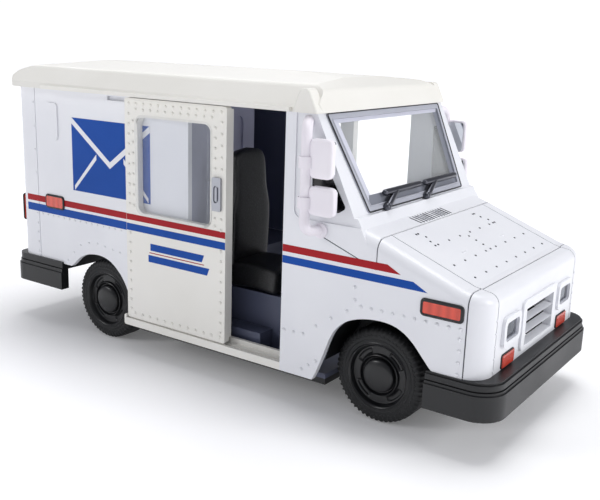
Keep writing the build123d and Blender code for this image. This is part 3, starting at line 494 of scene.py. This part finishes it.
# %% Tyres
half_width, tyre_radius, rim_radius, lug_count = 3.2, 9.05, 6.3, 56
tyre_face = 21.0  # the tyre's outer wall, from the middle of the truck
wheels = {"front": 38.1, "rear": -32.8}


def tyre_surface(axle_x, side):
    """r(s, a) = profile(s) - 0.28*groove(a)*shoulder(s), turned by the angle a about the axle."""
    shoulder_y = np.array([0.9, 0.78, 0.7, 0.62, 0.5, 0.3])
    shoulder_r = np.array([8.6, 8.93, 9.0, 9.03, 9.05, 9.05])
    rings = np.linspace(6.42, 8.0, 26)
    swell = 0.10 * np.exp(-(((rings - 6.85) / 0.1) ** 2)) + 0.10 * np.exp(-(((rings - 7.75) / 0.1) ** 2))
    wall = half_width - 0.16 + swell
    crown_y = np.concatenate([-shoulder_y, shoulder_y[::-1]]) * half_width
    bead_y = half_width - 0.16
    width = np.concatenate([[-bead_y], -wall, crown_y, wall[::-1], [bead_y]])
    profile = [[rim_radius], rings, shoulder_r, shoulder_r[::-1], rings[::-1], [rim_radius]]
    profile = np.concatenate(profile)
    turn = np.linspace(0, 2 * np.pi, lug_count * 8, endpoint=False)
    wave = np.cos(lug_count * turn)
    groove = 1 / (1 + np.exp(9 * (wave - 0.25)))
    shoulder = np.exp(-(((np.abs(width) / half_width - 0.84) / 0.2) ** 4)) * (profile > 7.6)
    r = profile[:, None] - 0.28 * shoulder[:, None] * groove[None, :]
    y = side * (tyre_face - half_width + width)
    points = np.stack(
        [
            axle_x + r * np.cos(turn)[None, :],
            np.broadcast_to(y[:, None], r.shape),
            tyre_radius + r * np.sin(turn)[None, :],
        ],
        axis=-1,
    )
    return surface(points, close_rows=True, close_columns=True)


for axle, axle_x in wheels.items():
    for side_name, side in sides.items():
        name, shell = f"tread_{axle}_{side_name}", tyre_surface(axle_x, side)
        tread = make_piece(name, [shell], tyre_rubber, f"{axle}_axle_set", 50)
        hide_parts(f"tyre_{axle}_{side_name}")

# %% [markdown]
# ## Wheel discs
#
# Each disc is turned in one profile: a rim flange, a dished web, a raised ring and a
# polished domed cap. Four curved slots are cast in the web; they are drawn as dark recesses
# by pushing the web in where both the radius and the angle fall inside a slot.

# %% Wheel discs
def disc_surface(axle_x, side):
    """y(r, a) = profile(r) - 0.4*slot(r)*slot(a); the cap is a dome 0.68*sqrt(1 - (r/3.12)^2)."""
    cap = [0.02, 0.6, 1.2, 1.8, 2.4, 2.8, 3.05, 3.2, 3.3]
    web_and_ring = [3.42, 3.55, 3.75, 3.9, 4.0, 4.08, 4.2, 4.4, 4.6, 4.8, 5.0, 5.15]
    rim = [5.25, 5.35, 5.45, 5.55, 5.7, 5.9, 6.05, 6.2, 6.3, 6.3]
    radius = np.array(cap + web_and_ring + rim)
    dome = 20.62 + 0.68 * np.sqrt(np.clip(1 - (radius / 3.12) ** 2, 0, 1))
    web = np.where(radius < 3.3, 20.45, 19.95)
    ring = 0.55 * np.exp(-(((radius - 3.78) / 0.2) ** 4))
    flange = 0.9 * (1 / (1 + np.exp(-22 * (radius - 5.62))))
    lip = 0.22 * np.exp(-(((radius - 6.02) / 0.16) ** 4))
    face = np.where(radius < 3.12, dome, web + ring + flange + lip)
    face[-1] = 15.2
    turn = np.linspace(0, 2 * np.pi, 144, endpoint=False)
    slot_r = np.exp(-(((radius - 4.68) / 0.42) ** 6))
    slot_a = 1 / (1 + np.exp(-26 * (np.cos(4 * (turn - np.pi / 4)) - 0.12)))
    y = face[:, None] - 0.4 * slot_r[:, None] * slot_a[None, :]
    points = np.stack(
        [
            axle_x + radius[:, None] * np.cos(turn)[None, :],
            side * y,
            tyre_radius + radius[:, None] * np.sin(turn)[None, :],
        ],
        axis=-1,
    )
    shell, faces = surface(points, close_columns=True)
    last = len(radius) * len(turn)
    caps = [tuple(range(len(turn))), tuple(range(last - len(turn), last))]
    return shell, list(map(tuple, faces)) + caps


for axle, axle_x in wheels.items():
    for side_name, side in sides.items():
        name, shell = f"disc_{axle}_{side_name}", disc_surface(axle_x, side)
        disc = make_piece(name, [shell], hub_abs, f"{axle}_axle_set", 40)
        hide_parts(f"hub_{axle}_{side_name}")

# %% [markdown]
# ## Rivets
#
# The real vehicle is riveted aluminium, and the model copies its rivets as tiny domes, two
# thirds of a millimetre across, in rows two millimetres apart. Every dome is the same small grid: a
# quarter circle turned about the surface's normal. One mesh holds all the rivets of a body,
# and each dome has only a few dozen faces.

# %% A dome, and where the rows of rivets run
def domes(centres, normal, radius=0.36, height=0.36):
    """c + r*cos(a)*(cos b U + sin b V) + h*sin(a)*N, for every centre c, plus a short skirt."""
    centres = np.asarray(centres, float).reshape(-1, 3)
    normal = np.asarray(normal, float) / np.linalg.norm(normal)
    first = np.cross(normal, [0.0, 0.0, 1.0] if abs(normal[2]) < 0.9 else [1.0, 0.0, 0.0])
    first /= np.linalg.norm(first)
    second = np.cross(normal, first)
    rise = np.array([-0.15, 0.0, 0.45, 0.9, 1.25])
    reach = np.where(rise < 0, 1.0, np.cos(np.clip(rise, 0, None)))
    lift = np.where(rise < 0, rise, np.sin(np.clip(rise, 0, None)))
    b = np.linspace(0, 2 * np.pi, 8, endpoint=False)
    flat = np.cos(b)[:, None] * first + np.sin(b)[:, None] * second
    shape = radius * reach[:, None, None] * flat[None] + height * lift[:, None, None] * normal
    faces = list(map(tuple, grid_faces(5, 8, close_columns=True))) + [tuple(range(8)), tuple(range(32, 40))]
    return [(shape.reshape(-1, 3) + centre, faces) for centre in centres]


def row(start, end, pitch):
    """Evenly spaced points from start to end, as near the pitch as fits."""
    start, end = np.asarray(start, float), np.asarray(end, float)
    count = max(2, int(round(np.linalg.norm(end - start) / pitch)) + 1)
    return start + (end - start) * np.linspace(0, 1, count)[:, None]


def on_side(points, y):
    """(x, z) pairs lifted onto a side plane."""
    points = np.asarray(points, float).reshape(-1, 2)
    return np.column_stack([points[:, 0], np.full(len(points), y), points[:, 1]])


cab_points = np.concatenate(
    [
        [[23.86, 14.89], [26.64, 17.07], [29.82, 19.26], [33.09, 21.34], [34.68, 23.63], [34.58, 26.01]],
        row((35.97, 22.73), (54.94, 22.73), 2.03),
        row((54.94, 21.04), (54.94, 14.9), 2.05),
        [[23.76, 7.94], [25.25, 9.03], [26.84, 10.22], [19.49, 14.79], [21.68, 14.79]],
    ]
)
cargo_points = np.concatenate(
    [
        row((-53.86, 26.28), (-53.86, 17.2), 2.4),
        row((-52.0, 26.39), (-24.2, 26.39), 1.85),
        row((-53.86, 36.0), (-53.86, 52.0), 5.4),
        [[-43.6, 16.6], [-41.6, 18.9], [-39.2, 20.9], [-36.4, 21.9]],
        row((-33.6, 22.2), (-24.2, 21.0), 2.2),
    ]
)
door_points = np.concatenate(
    [
        row((-21.4, 54.1), (3.4, 54.1), 2.05),
        row((-19.4, 52.95), (1.0, 52.95), 2.05),
        row((-21.5, 52.0), (-21.5, 10.2), 2.1),
        row((-20.3, 50.6), (-20.3, 33.0), 2.1),
        row((3.5, 52.2), (3.5, 43.2), 2.1),
        row((1.9, 51.0), (1.9, 43.2), 2.1),
        row((3.5, 33.4), (3.5, 10.2), 2.1),
        row((1.9, 33.4), (1.9, 31.9), 1.5),
        row((-20.4, 9.3), (3.4, 9.3), 2.1),
    ]
)
door_points = door_points[(door_points[:, 1] < 27.3) | (door_points[:, 1] > 31.2)]
foot, crown = np.array([33.65, 38.1]), np.array([25.2, 55.5])


def hood_height(x):
    """Straight fall from (38.45, 35.3) to (54.9, 29.05), the hood's top."""
    return 35.3 + (29.05 - 35.3) * (np.asarray(x) - 38.45) / (54.9 - 38.45)


hood_points = np.array(
    [[40.4, y] for y in (11.0, 11.7, -12.9, -13.6)]
    + [[41.7, y] for y in (12.0, -12.2)]
    + [[43.0, y] for y in (12.9, -13.0)]
    + [[44.2, y] for y in (13.4, 12.6, -12.3, -13.4, -7.8, -3.1, 1.4, 6.0, 10.7)]
    + [[x, -0.8] for x in (45.0, 46.5, 48.0)]
    + [[49.5, y] for y in (-16.6, -12.1, -7.6, -3.0, -0.8, 1.7, 6.4, 11.2, 16.0)]
    + [[53.4, y] for y in np.linspace(-16.4, 16.3, 8)]
)
cab_rivets = []
for side in sides.values():
    cab_rivets += domes(on_side(cab_points, side * 24.4), (0, side, 0))
    column = row((59.3, side * 20.0, 24.0), (59.3, side * 20.0, 15.2), 2.1)
    cab_rivets += domes(column, (1, 0, 0), 0.22, 0.16)
make_piece("cab_rivets", cab_rivets, body_enamel, "truck", 60)
hood_places = np.column_stack([hood_points, hood_height(hood_points[:, 0])])
slope = (6.25, 0, 16.45)
# The hood rivets' dark finish is painted shade.
make_piece("hood_rivets", domes(hood_places, slope, 0.24, 0.14), hood_rivet, "truck", 60)
cargo_rivets = []
for side in sides.values():
    cargo_rivets += domes(on_side(cargo_points, side * 22.4), (0, side, 0), 0.28, 0.18)
make_piece("cargo_rivets", cargo_rivets, body_enamel, "truck", 60)
for side_name, side in sides.items():
    beads = domes(on_side(door_points, side * 24.0), (0, side, 0), 0.34, 0.3)
    make_piece(f"door_rivets_{side_name}", beads, door_abs, f"{side_name}_door", 60)

# %% [markdown]
# ## Printed stripes and badge
#
# Stripes on such a model are pad-printed: a film of ink with crisp edges, far thinner than
# a tenth of a millimetre. Each one here is a slab three hundredths of a millimetre proud of
# the panel, between a lower and an upper line. The badge on the cargo side is a plain blue
# envelope, and the two bars on the door stand where a fleet's lettering would be.

# %% Printing
def print_patch(corners, side, y, lift=0.03, columns=12):
    """Bilinear patch between a lower edge and an upper edge: (1-v)*low(u) + v*high(u)."""
    corners = np.asarray(corners, float)
    u, v = np.linspace(0, 1, columns)[None, :, None], np.array([0.0, 1.0])[:, None, None]
    low = corners[0] + (corners[1] - corners[0]) * u
    high = corners[3] + (corners[2] - corners[3]) * u
    flat = (1 - v) * low + v * high
    front = np.stack([flat[..., 0], np.full(flat.shape[:2], side * (y + lift)), flat[..., 1]], axis=-1)
    back = front.copy()
    back[..., 1] = side * (y - 0.05)
    return slab(front, back)


def band(x_low, x_high, z_low, z_high, slant=0.0):
    """Corners of a band; slant moves its upper right corner back."""
    return [(x_low, z_low), (x_high, z_low), (x_high - slant, z_high), (x_low, z_high)]


for side_name, side in sides.items():
    reds = [print_patch(band(18.75, 43.43, 29.9, 31.25, 2.6), side, 24.4)]
    blues = [print_patch(band(18.75, 48.6, 27.72, 29.15, 2.75), side, 24.4)]
    reds += [print_patch(band(-57.2, -6.55, 29.2, 30.62), side, 22.4)]
    blues += [print_patch(band(-57.2, -6.55, 26.85, 28.6), side, 22.4)]
    blues += [print_patch(band(-41.0, -17.0, 33.4, 49.6), side, 22.4)]
    make_piece(f"red_stripes_{side_name}", reds, red_print, "truck", 30)
    make_piece(f"blue_stripes_{side_name}", blues, blue_print, "truck", 30)
    flap = []
    for (x0, z0), (x1, z1) in (((-41.0, 49.0), (-29.0, 40.2)), ((-17.0, 49.0), (-29.0, 40.2))):
        fold = [(x0, z0 - 0.7), (x1, z1 - 0.7), (x1, z1 + 0.7), (x0, z0 + 0.7)]
        flap += [print_patch(fold, side, 22.4, 0.05)]
    for (x0, z0), (x1, z1) in (((-40.4, 33.9), (-33.2, 41.6)), ((-17.6, 33.9), (-24.8, 41.6))):
        fold = [(x0, z0 - 0.35), (x1, z1 - 0.6), (x1, z1 + 0.6), (x0, z0 + 0.65)]
        flap += [print_patch(fold, side, 22.4, 0.05)]
    make_piece(f"envelope_lines_{side_name}", flap, body_enamel, "truck", 30)
    door_red = [print_patch(band(-22.5, 4.6, 29.75, 31.05), side, 24.0)]
    door_blue = [print_patch(band(-22.5, 4.6, 27.5, 29.0), side, 24.0)]
    door_blue += [print_patch(band(-15.6, -1.4, 24.0, 25.5, -0.6), side, 24.0)]
    door_blue += [print_patch(band(-16.2, 0.0, 21.5, 23.0, -0.6), side, 24.0)]
    door_red += [print_patch(band(-15.9, -0.8, 23.42, 23.6), side, 24.0)]
    make_piece(f"door_red_{side_name}", door_red, red_print, f"{side_name}_door", 30)
    make_piece(f"door_blue_{side_name}", door_blue, blue_print, f"{side_name}_door", 30)

# %% [markdown]
# ## Lamp frames
#
# Round each lamp runs a thin black frame, as if the lamp sat in a rubber seat. It is a
# small round bead carried along the lamp's rounded outline, closed on itself.

# %% Lamp frames
def bead_on_side(centre, width, height, side, y, radius, corner):
    outline = rounded_loop(box_corners(centre, width, height), corner)
    path = np.column_stack([outline[:, 0], np.full(len(outline), side * y), outline[:, 1]])
    return tube(path, radius, (0, side, 0), sides=8, closed=True)


def bead_on_front(centre, width, height, x, radius, corner):
    outline = rounded_loop(box_corners(centre, width, height), corner)
    path = np.column_stack([np.full(len(outline), x), outline])
    return tube(path, radius, (1, 0, 0), sides=8, closed=True)


frames = []
for side in sides.values():
    frames.append(bead_on_side((51.45, 25.3), 7.3, 2.5, side, 24.46, 0.34, 0.5))
    frames.append(bead_on_side((-47.4, 29.8), 5.8, 2.7, side, 22.46, 0.3, 0.55))
    frames.append(bead_on_front((side * 13.75, 15.75), 5.4, 2.4, 59.34, 0.17, 0.4))
    frames.append(bead_on_front((side * 20.4, 27.0), 2.7, 6.1, -59.66, 0.2, 0.5))
make_piece("lamp_frames", frames, trim_black, "truck", 60)

# %% [markdown]
# ## Headlights
#
# A rectangular sealed-beam lens has upright flutes that spread its light. The lens is a
# slab whose front swells outwards and carries a cosine ripple across its width.

# %% Headlights
def lens(y_middle, z_middle, width, height, x):
    """x(u, v) = x0 + 0.25*(1-u^2)*(1-v^2) + 0.07*cos(2 pi y / 0.62)."""
    u, v = np.meshgrid(np.linspace(-1, 1, 61), np.linspace(-1, 1, 21))
    y = y_middle + u * width / 2
    z = z_middle + v * height / 2
    swell = 0.25 * (1 - u**2) * (1 - v**2)
    edge = np.clip(3 * (1 - np.abs(u)), 0, 1) * np.clip(3 * (1 - np.abs(v)), 0, 1)
    front = np.stack([x + swell + 0.07 * edge * np.cos(2 * np.pi * y / 0.62), y, z], axis=-1)
    back = front.copy()
    back[..., 0] = x - 0.6
    return slab(front, back)


headlights = []
for side_name, side in sides.items():
    glass = lens(side * 13.6, 21.1, 5.52, 3.32, 59.0)
    piece = make_piece(f"headlight_{side_name}", [glass], lamp_grey, "truck", 50)
    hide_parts(f"headlight_lens_{side_name}")
    headlights.append(bead_on_front((side * 13.6, 21.1), 5.5, 3.3, 59.35, 0.13, 0.5))
make_piece("headlight_seals", headlights, gasket_rubber, "truck", 60)

# %% [markdown]
# ## Windshield seal and wipers
#
# The windshield sits in a pale rubber seal with a black bead outside, painted shadow of the
# gap round the glass, and a grey one inside. Bands on the glass within it stand for the
# frame's inner wall: painted shade along the foot and down the left of the truck, painted
# light along the crown and the right. The wipers are round bars laid just above the
# glass, with rounded ends, an arm and a pivot.

# %% Windshield seal and wipers
along = (crown - foot) / np.linalg.norm(crown - foot)
outward = np.array([along[1], -along[0]])
reach = np.linalg.norm(crown - foot)


def on_glass(y, s, lift):
    """Foot of the windshield + s up its slope + lift along its normal."""
    y, s = np.broadcast_arrays(np.asarray(y, float), np.asarray(s, float))
    x = foot[0] + along[0] * s + outward[0] * lift
    z = foot[1] + along[1] * s + outward[1] * lift
    return np.stack([x, y, z], axis=-1)


def glass_outline(grow):
    """Corners of the windshield opening, grown or shrunk evenly."""
    low, high = 0.62 - grow, reach - 0.62 + grow
    narrow, wide = 18.9 + grow, 21.4 + grow
    return np.array([[-narrow, low], [narrow, low], [wide, high], [-wide, high]])


def glass_strip(corners, lift):
    """Thin strip printed on the glass, between four corners given as (y, s)."""
    a, b, c, d = np.asarray(corners, float)
    v = np.linspace(0, 1, 12)[:, None]
    loops = [a + (b - a) * v, d + (c - d) * v]
    front = np.stack([on_glass(loop[:, 0], loop[:, 1], lift) for loop in loops])
    back = np.stack([on_glass(loop[:, 0], loop[:, 1], lift - 0.05) for loop in loops])
    return slab(front, back)


# The black outer bead is painted shadow for the gap round the glass.
for name, finish, grow, thick, corner in (
    ("gap_shadow_bead", trim_black, 0.33, 0.15, 0.45),
    ("seal_bead_inner", gasket_rubber, -0.68, 0.14, 0.35),
):
    loop = rounded_loop(glass_outline(grow), corner)
    bead = tube(on_glass(loop[:, 0], loop[:, 1], 0.3), thick, (outward[0], 0, outward[1]), 8, True)
    make_piece(name, [bead], finish, "truck", 60)
edge, foot_edge, side_edge = glass_outline(-0.7), glass_outline(-2.7), glass_outline(-2.6)
crown_edge = glass_outline(-1.5)
# Grey strips: painted shade of the frame's inner wall, at the foot and on the left.
shade_strips = [
    glass_strip([edge[0], edge[1], foot_edge[1] * [1.06, 1], foot_edge[0] * [1.06, 1]], 0.04),
    glass_strip([edge[1], edge[2], side_edge[2] + [0, 1.9], side_edge[1] - [0, 1.9]], 0.03),
]
make_piece("painted_shade_bands", shade_strips, painted_shade_band, "truck", 30)
# Pale strips: painted light on the frame's inner wall, at the crown and on the right.
light_strips = [
    glass_strip([edge[3], edge[0], side_edge[0] - [0, 1.9], side_edge[3] + [0, 1.9]], 0.03),
    glass_strip([edge[2], edge[3], crown_edge[3], crown_edge[2]], 0.04),
]
make_piece("painted_light_bands", light_strips, painted_light_finish, "truck", 30)

wiper_lift = 0.92
for side_name, blade, arm in (("right", (-13.4, 1.0), (-8.5, -13.6)), ("left", (2.6, 17.0), (7.6, 2.2))):
    parts = []
    ends = on_glass(blade, 3.0, wiper_lift)
    parts.append(tube(*rounded_ends(ends[0], ends[1], 0.6), (outward[0], 0, outward[1])))
    ends = on_glass(arm, (3.0, 0.35), wiper_lift)
    parts.append(tube(*rounded_ends(ends[0], ends[1], 0.62), (outward[0], 0, outward[1])))
    pivot = on_glass([arm[1]] * 4, 0.35, np.array([0.32, 0.9, 1.3, 1.45]))
    parts.append(tube(pivot, np.array([0.7, 0.7, 0.6, 0.3]), (0, 1, 0)))
    made = make_piece(f"wiper_bars_{side_name}", parts, wiper_film, "truck", 50)
    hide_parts(f"wiper_{side_name}")

# %% [markdown]
# ## Shadow in the panel seams
#
# Seams on the hood and the nose are grooves a fifth of a millimetre wide. The shade in them
# makes them read as fine grey lines, so a thin dark cord of painted shadow lies on the floor
# of each groove, carried along the same path over the rounded edges.

# %% Seam lines
def arc(centre, start, end, radius, steps=7):
    """Quarter turn from start to end angle, in degrees."""
    t = np.radians(np.linspace(start, end, steps))
    return np.column_stack([centre[0] + radius * np.cos(t), centre[1] + radius * np.sin(t)])


def nose_height(x):
    """Hood top, then the shorter fall from (54.9, 29.05) to (59.3, 28.3)."""
    x = np.asarray(x, float)
    return np.where(x < 54.9, hood_height(x), 29.05 + (28.3 - 29.05) * (x - 54.9) / 4.4)


depth, seams = 0.17, []
for side in sides.values():
    stations = np.array([38.6, 46.0, 54.8, 56.2, 57.3])
    top = np.column_stack([stations, np.full(5, side * 19.66), nose_height(stations) - depth])
    bend = arc((57.35, 26.62), 80, 0, 1.78)
    curve = np.column_stack([bend[:, 0], np.full(len(bend), side * 19.66), bend[:, 1]])
    down = np.array([[59.13, side * 19.66, 26.0], [59.13, side * 19.66, 14.5]])
    seams.append(tube(np.concatenate([top, curve, down]), 0.1, (0, 1, 0), 6))
    for x, z_end in ((38.66, 30.1), (55.94, 14.5)):
        level = float(nose_height(x))
        bend = arc((22.4, level - 2.0), 90, 0, 1.83)
        wrap = [[x, side * 19.66, level - depth], [x, side * 22.3, level - depth]]
        wrap += [[x, side * y, z] for y, z in bend[1:]] + [[x, side * 24.23, z_end]]
        seams.append(tube(np.array(wrap), 0.1, (1, 0, 0), 6))
    seams.append(tube([[26.9, side * 24.23, 34.1], [38.5, side * 24.23, 29.93]], 0.1, (0, 1, 0), 6))
for x in (38.66, 56.21):
    z = float(nose_height(x)) - depth
    seams.append(tube([[x, -19.6, z], [x, 19.6, z]], 0.09, (1, 0, 0), 6))
make_piece("seam_lines", seams, seam_shadow, "truck", 60)

# %% [markdown]
# ## Air inlet at the foot of the windshield
#
# The cowl has a small row of slanted slits that feed the heater. The shade in each is painted
# as a dark sliver a third of a millimetre wide, laid a hair above the sloping cowl.

# %% Cowl slits
slits = []
for middle_y in np.linspace(-7.6, 5.2, 13):
    stations = np.linspace(35.85, 38.3, 4)
    height = 36.3 - (stations - 35.4) / 3.05
    lean = middle_y + 0.25 * (stations - 37.0)
    rows = [np.column_stack([stations, lean + offset, height + 0.03]) for offset in (-0.16, 0.16)]
    front = np.stack(rows)
    slits.append(slab(front, front - np.array([0, 0, 0.08])))
make_piece("cowl_slits", slits, seam_shadow, "truck", 60)

# %% [markdown]
# ## Lining of the load space
#
# Inside, the cargo box is slate plastic like the cab's tray, a little lighter. Thin sheets a few
# hundredths of a millimetre off the painted walls stand for it: two sides, a strip along the
# top of each and the ceiling. Each is a flat grid with a little thickness.

# %% Lining
def sheet(origin, first, second, normal, thickness=0.04):
    """o + u*a + v*b, with a back a few hundredths behind it."""
    u, v = np.meshgrid(np.linspace(0, 1, 6), np.linspace(0, 1, 4))
    front = np.asarray(origin, float) + u[..., None] * np.asarray(first) + v[..., None] * np.asarray(second)
    return slab(front, front - thickness * np.asarray(normal, float))


hold = {"x": (-58.2, -6.6), "z": (21.0, 55.4), "y": 21.24}
length, height = hold["x"][1] - hold["x"][0], hold["z"][1] - hold["z"][0]
lining = []
for side in sides.values():
    corner = (hold["x"][0], side * hold["y"], hold["z"][0])
    lining.append(sheet(corner, (length, 0, 0), (0, 0, height), (0, -side, 0)))
    corner = (-57.2, side * 20.94, 55.5)
    lining.append(sheet(corner, (79.3, 0, 0), (0, 0, 3.6), (0, -side, 0)))
lining.append(sheet((-57.2, -20.9, 59.14), (79.3, 0, 0), (0, 41.8, 0), (0, 0, -1)))
make_piece("hold_lining", lining, lining_plastic, "truck", 60)

# %% [markdown]
# ## Inner fenders
#
# Behind each front wheel opening the body has a dark inner fender, or one would see
# straight past the wheel into the nose. Its roof follows the curve of the opening, moved a
# little outwards, and a flat wall closes it next to the end of the axle block.

# %% Inner fenders
opening = np.array(
    [[-9.9, 10.4], [-8.9, 13.9], [-7.4, 17.1], [-5.0, 19.6], [-2.0, 20.9]]
    + [[1.6, 21.35], [5.2, 20.9], [8.3, 19.1], [10.8, 16.6], [12.6, 14.4]]
)
fenders = []
for side in sides.values():
    x, z = wheels["front"] + opening[:, 0], opening[:, 1]
    reach_in = np.linspace(14.2, 23.1, 5)[:, None]
    roof = np.stack(np.broadcast_arrays(x[None], side * reach_in, z[None]), axis=-1)
    fenders.append(slab(roof, roof + np.array([0, 0, 0.12])))
    fall = np.linspace(0, 1, 5)[:, None]
    wall = np.stack(np.broadcast_arrays(x[None], side * 14.2, z + (7.0 - z) * fall), axis=-1)
    fenders.append(slab(wall, wall - np.array([0, side * 0.12, 0])))
make_piece("inner_fenders", fenders, trim_black, "truck", 60)

# %% [markdown]
# ## Mirror heads
#
# The mirror shells are soft rounded blocks. A superellipsoid has that shape in one formula:
# the powers of the sine and cosine flatten the sides and keep the corners round.

# %% Mirror heads
def power(value, exponent):
    return np.sign(value) * np.abs(value) ** exponent


def soft_block(centre, half, exponent=0.32, rows=24, columns=40):
    """Superellipsoid: a*c(v)^e c(u)^e, b*c(v)^e s(u)^e, c*s(v)^e, with c and s signed powers."""
    v = np.linspace(-np.pi / 2 * 0.999, np.pi / 2 * 0.999, rows)[:, None]
    u = np.linspace(0, 2 * np.pi, columns, endpoint=False)[None, :]
    ring = power(np.cos(v), exponent)
    x = centre[0] + half[0] * ring * power(np.cos(u), exponent)
    z = centre[2] + half[2] * ring * power(np.sin(u), exponent)
    y = centre[1] + half[1] * np.broadcast_to(power(np.sin(v), exponent), x.shape)
    points, faces = surface(np.stack([x, y, z], axis=-1), close_columns=True)
    last = rows * columns
    caps = [tuple(range(columns)), tuple(range(last - columns, last))]
    return points, list(map(tuple, faces)) + caps


head_boxes = {"upper": ((26.0, 30.7), (44.7, 51.6)), "lower": ((26.0, 31.4), (38.2, 43.4))}
for side_name, side in sides.items():
    for level, ((x0, x1), (z0, z1)) in head_boxes.items():
        centre = ((x0 + x1) / 2, side * 26.85, (z0 + z1) / 2)
        half = ((x1 - x0) / 2, 0.82, (z1 - z0) / 2)
        name, shell = f"mirror_shell_{level}_{side_name}", soft_block(centre, half, 0.36)
        made = make_piece(name, [shell], mirror_plastic, "truck", 60)
        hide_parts(f"mirror_head_{level}_{side_name}")

# %% [markdown]
# ## The driver's seat
#
# The model's seat is one hard moulding that copies a vinyl-covered one: a cushion with
# rounded edges and a back that narrows into a head part. The back is a soft-cornered
# section carried up a gently curved spine, and its half width eases from wide to narrow.

# %% Driver's seat
def carried(spine, half_width, half_depth, exponent=0.28, columns=48):
    """Section (w*c(u)^e, d*s(u)^e) across the spine, closed by rounding it off at both ends."""
    spine = np.asarray(spine, float)
    direction = np.gradient(spine, axis=0)
    direction /= np.linalg.norm(direction, axis=1, keepdims=True)
    front = np.column_stack([direction[:, 1], -direction[:, 0]])
    u = np.linspace(0, 2 * np.pi, columns, endpoint=False)
    wide = half_width[:, None] * power(np.cos(u), exponent)
    deep = half_depth[:, None] * power(np.sin(u), exponent)
    x = spine[:, :1] + front[:, :1] * deep
    z = spine[:, 1:] + front[:, 1:] * deep
    points, faces = surface(np.stack([x, -11.2 + wide, z], axis=-1), close_columns=True)
    last = len(spine) * columns
    caps = [tuple(range(columns)), tuple(range(last - columns, last))]
    return points, list(map(tuple, faces)) + caps


def ease(t, low, high):
    """Smooth step from 0 to 1 between low and high."""
    s = np.clip((t - low) / (high - low), 0, 1)
    return s * s * (3 - 2 * s)


t = np.linspace(0, 1, 60)
ends = np.sqrt(np.clip(1 - (2 * np.abs(t - 0.5)) ** 14, 0, 1)) * 0.98 + 0.02
back_x = -0.6 + 0.9 * np.sin(np.pi * t * 0.9) - 0.4 * t
back_spine = np.column_stack([back_x, 20.0 + 26.0 * t])
back_width = (6.0 - 1.1 * ease(t, 0.5, 0.72)) * ends
seat_back = carried(back_spine, back_width, (1.55 - 0.3 * t) * ends)
cushion_spine = np.column_stack([-1.4 + 13.9 * t, 20.35 + 0.5 * np.sin(np.pi * t)])
cushion = carried(cushion_spine, 6.0 * ends, 2.75 * ends, 0.35)
seat = make_piece("seat_moulding", [seat_back, cushion], seat_grain, "truck", 60)
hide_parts("driver_seat")

# %% [markdown]
# ## Floor and light
#
# The model stands on a plain pale sweep that glows a little, more so further out, so it
# runs into the white backdrop and only the soft shadow shows. Light comes from a broad panel
# overhead, one behind on the left, one in front and one on the right side. The world lights
# the truck gently, and what the camera sees of it is white. The standard view transform
# keeps printed colours as strong as they are on a screen.

# %% Floor and lights
floor_paper, tree, place = start_material("floor_paper")
distance = node(tree, "ShaderNodeVectorMath", {0: place}, operation="LENGTH")
glow = node(
    tree,
    "ShaderNodeMapRange",
    {"Value": distance.outputs["Value"], "From Min": 0.08, "From Max": 0.5, "To Min": 0.1, "To Max": 0.75},
)
fibre = node(tree, "ShaderNodeTexNoise", {"Vector": place, "Scale": 1 / (1.5 * MM), "Detail": 2.0})
lift = node(
    tree, "ShaderNodeBump", {"Height": fibre.outputs["Fac"], "Distance": 0.01 * MM, "Strength": 0.4}
)
finish_material(
    tree,
    {
        "Base Color": linear("#FAFAFB"),
        "Roughness": 0.75,
        "Normal": lift.outputs["Normal"],
        "Emission Color": linear("#FFFFFF"),
        "Emission Strength": glow.outputs["Result"],
    },
)
sweep_mesh = bpy.data.meshes.new("floor")
sweep_mesh.from_pydata([(-3, -3, 0), (3, -3, 0), (3, 3, 0), (-3, 3, 0)], [], [(0, 1, 2, 3)])
sweep_mesh.materials.append(floor_paper)
floor = bpy.data.objects.new("floor", sweep_mesh)
bpy.context.scene.collection.objects.link(floor)


def panel(name, place, aim, size, watts):
    """Square area light at a place, turned to face a point."""
    light = bpy.data.lights.new(name, "AREA")
    light.size = size
    light.energy = watts
    lamp = bpy.data.objects.new(name, light)
    bpy.context.scene.collection.objects.link(lamp)
    toward = np.array(place) - np.array(aim)
    toward = toward / np.linalg.norm(toward)
    side = np.cross([0.0, 0.02, 1.0], toward)
    side /= np.linalg.norm(side)
    other = np.cross(toward, side)
    rows = [[side[i], other[i], toward[i], place[i]] for i in range(3)]
    lamp.matrix_world = Matrix(rows + [[0, 0, 0, 1]])
    return lamp


middle = (0.0, 0.0, 0.03)
panel("overhead", (0.02, 0.1, 0.75), middle, 0.4, 2.7)
panel("left_back", (-0.45, 0.45, 0.45), middle, 0.5, 1.0)
panel("front", (0.75, 0.15, 0.35), middle, 0.25, 2.6)
panel("right_side", (-0.5, -0.65, 0.42), middle, 0.22, 1.35)
world = bpy.data.worlds.new("studio")
world.use_nodes = True
sky = world.node_tree
sky.nodes.clear()
ambient = node(sky, "ShaderNodeBackground", {"Color": linear("#F4F6FF"), "Strength": 0.36})
backdrop = node(sky, "ShaderNodeBackground", {"Color": linear("#FFFFFF"), "Strength": 1.05})
seen = node(
    sky,
    "ShaderNodeMixShader",
    {
        0: node(sky, "ShaderNodeLightPath").outputs["Is Camera Ray"],
        1: ambient.outputs["Background"],
        2: backdrop.outputs["Background"],
    },
)
node(sky, "ShaderNodeOutputWorld", {"Surface": seen.outputs["Shader"]})
bpy.context.scene.world = world
bpy.context.scene.view_settings.view_transform = "Standard"
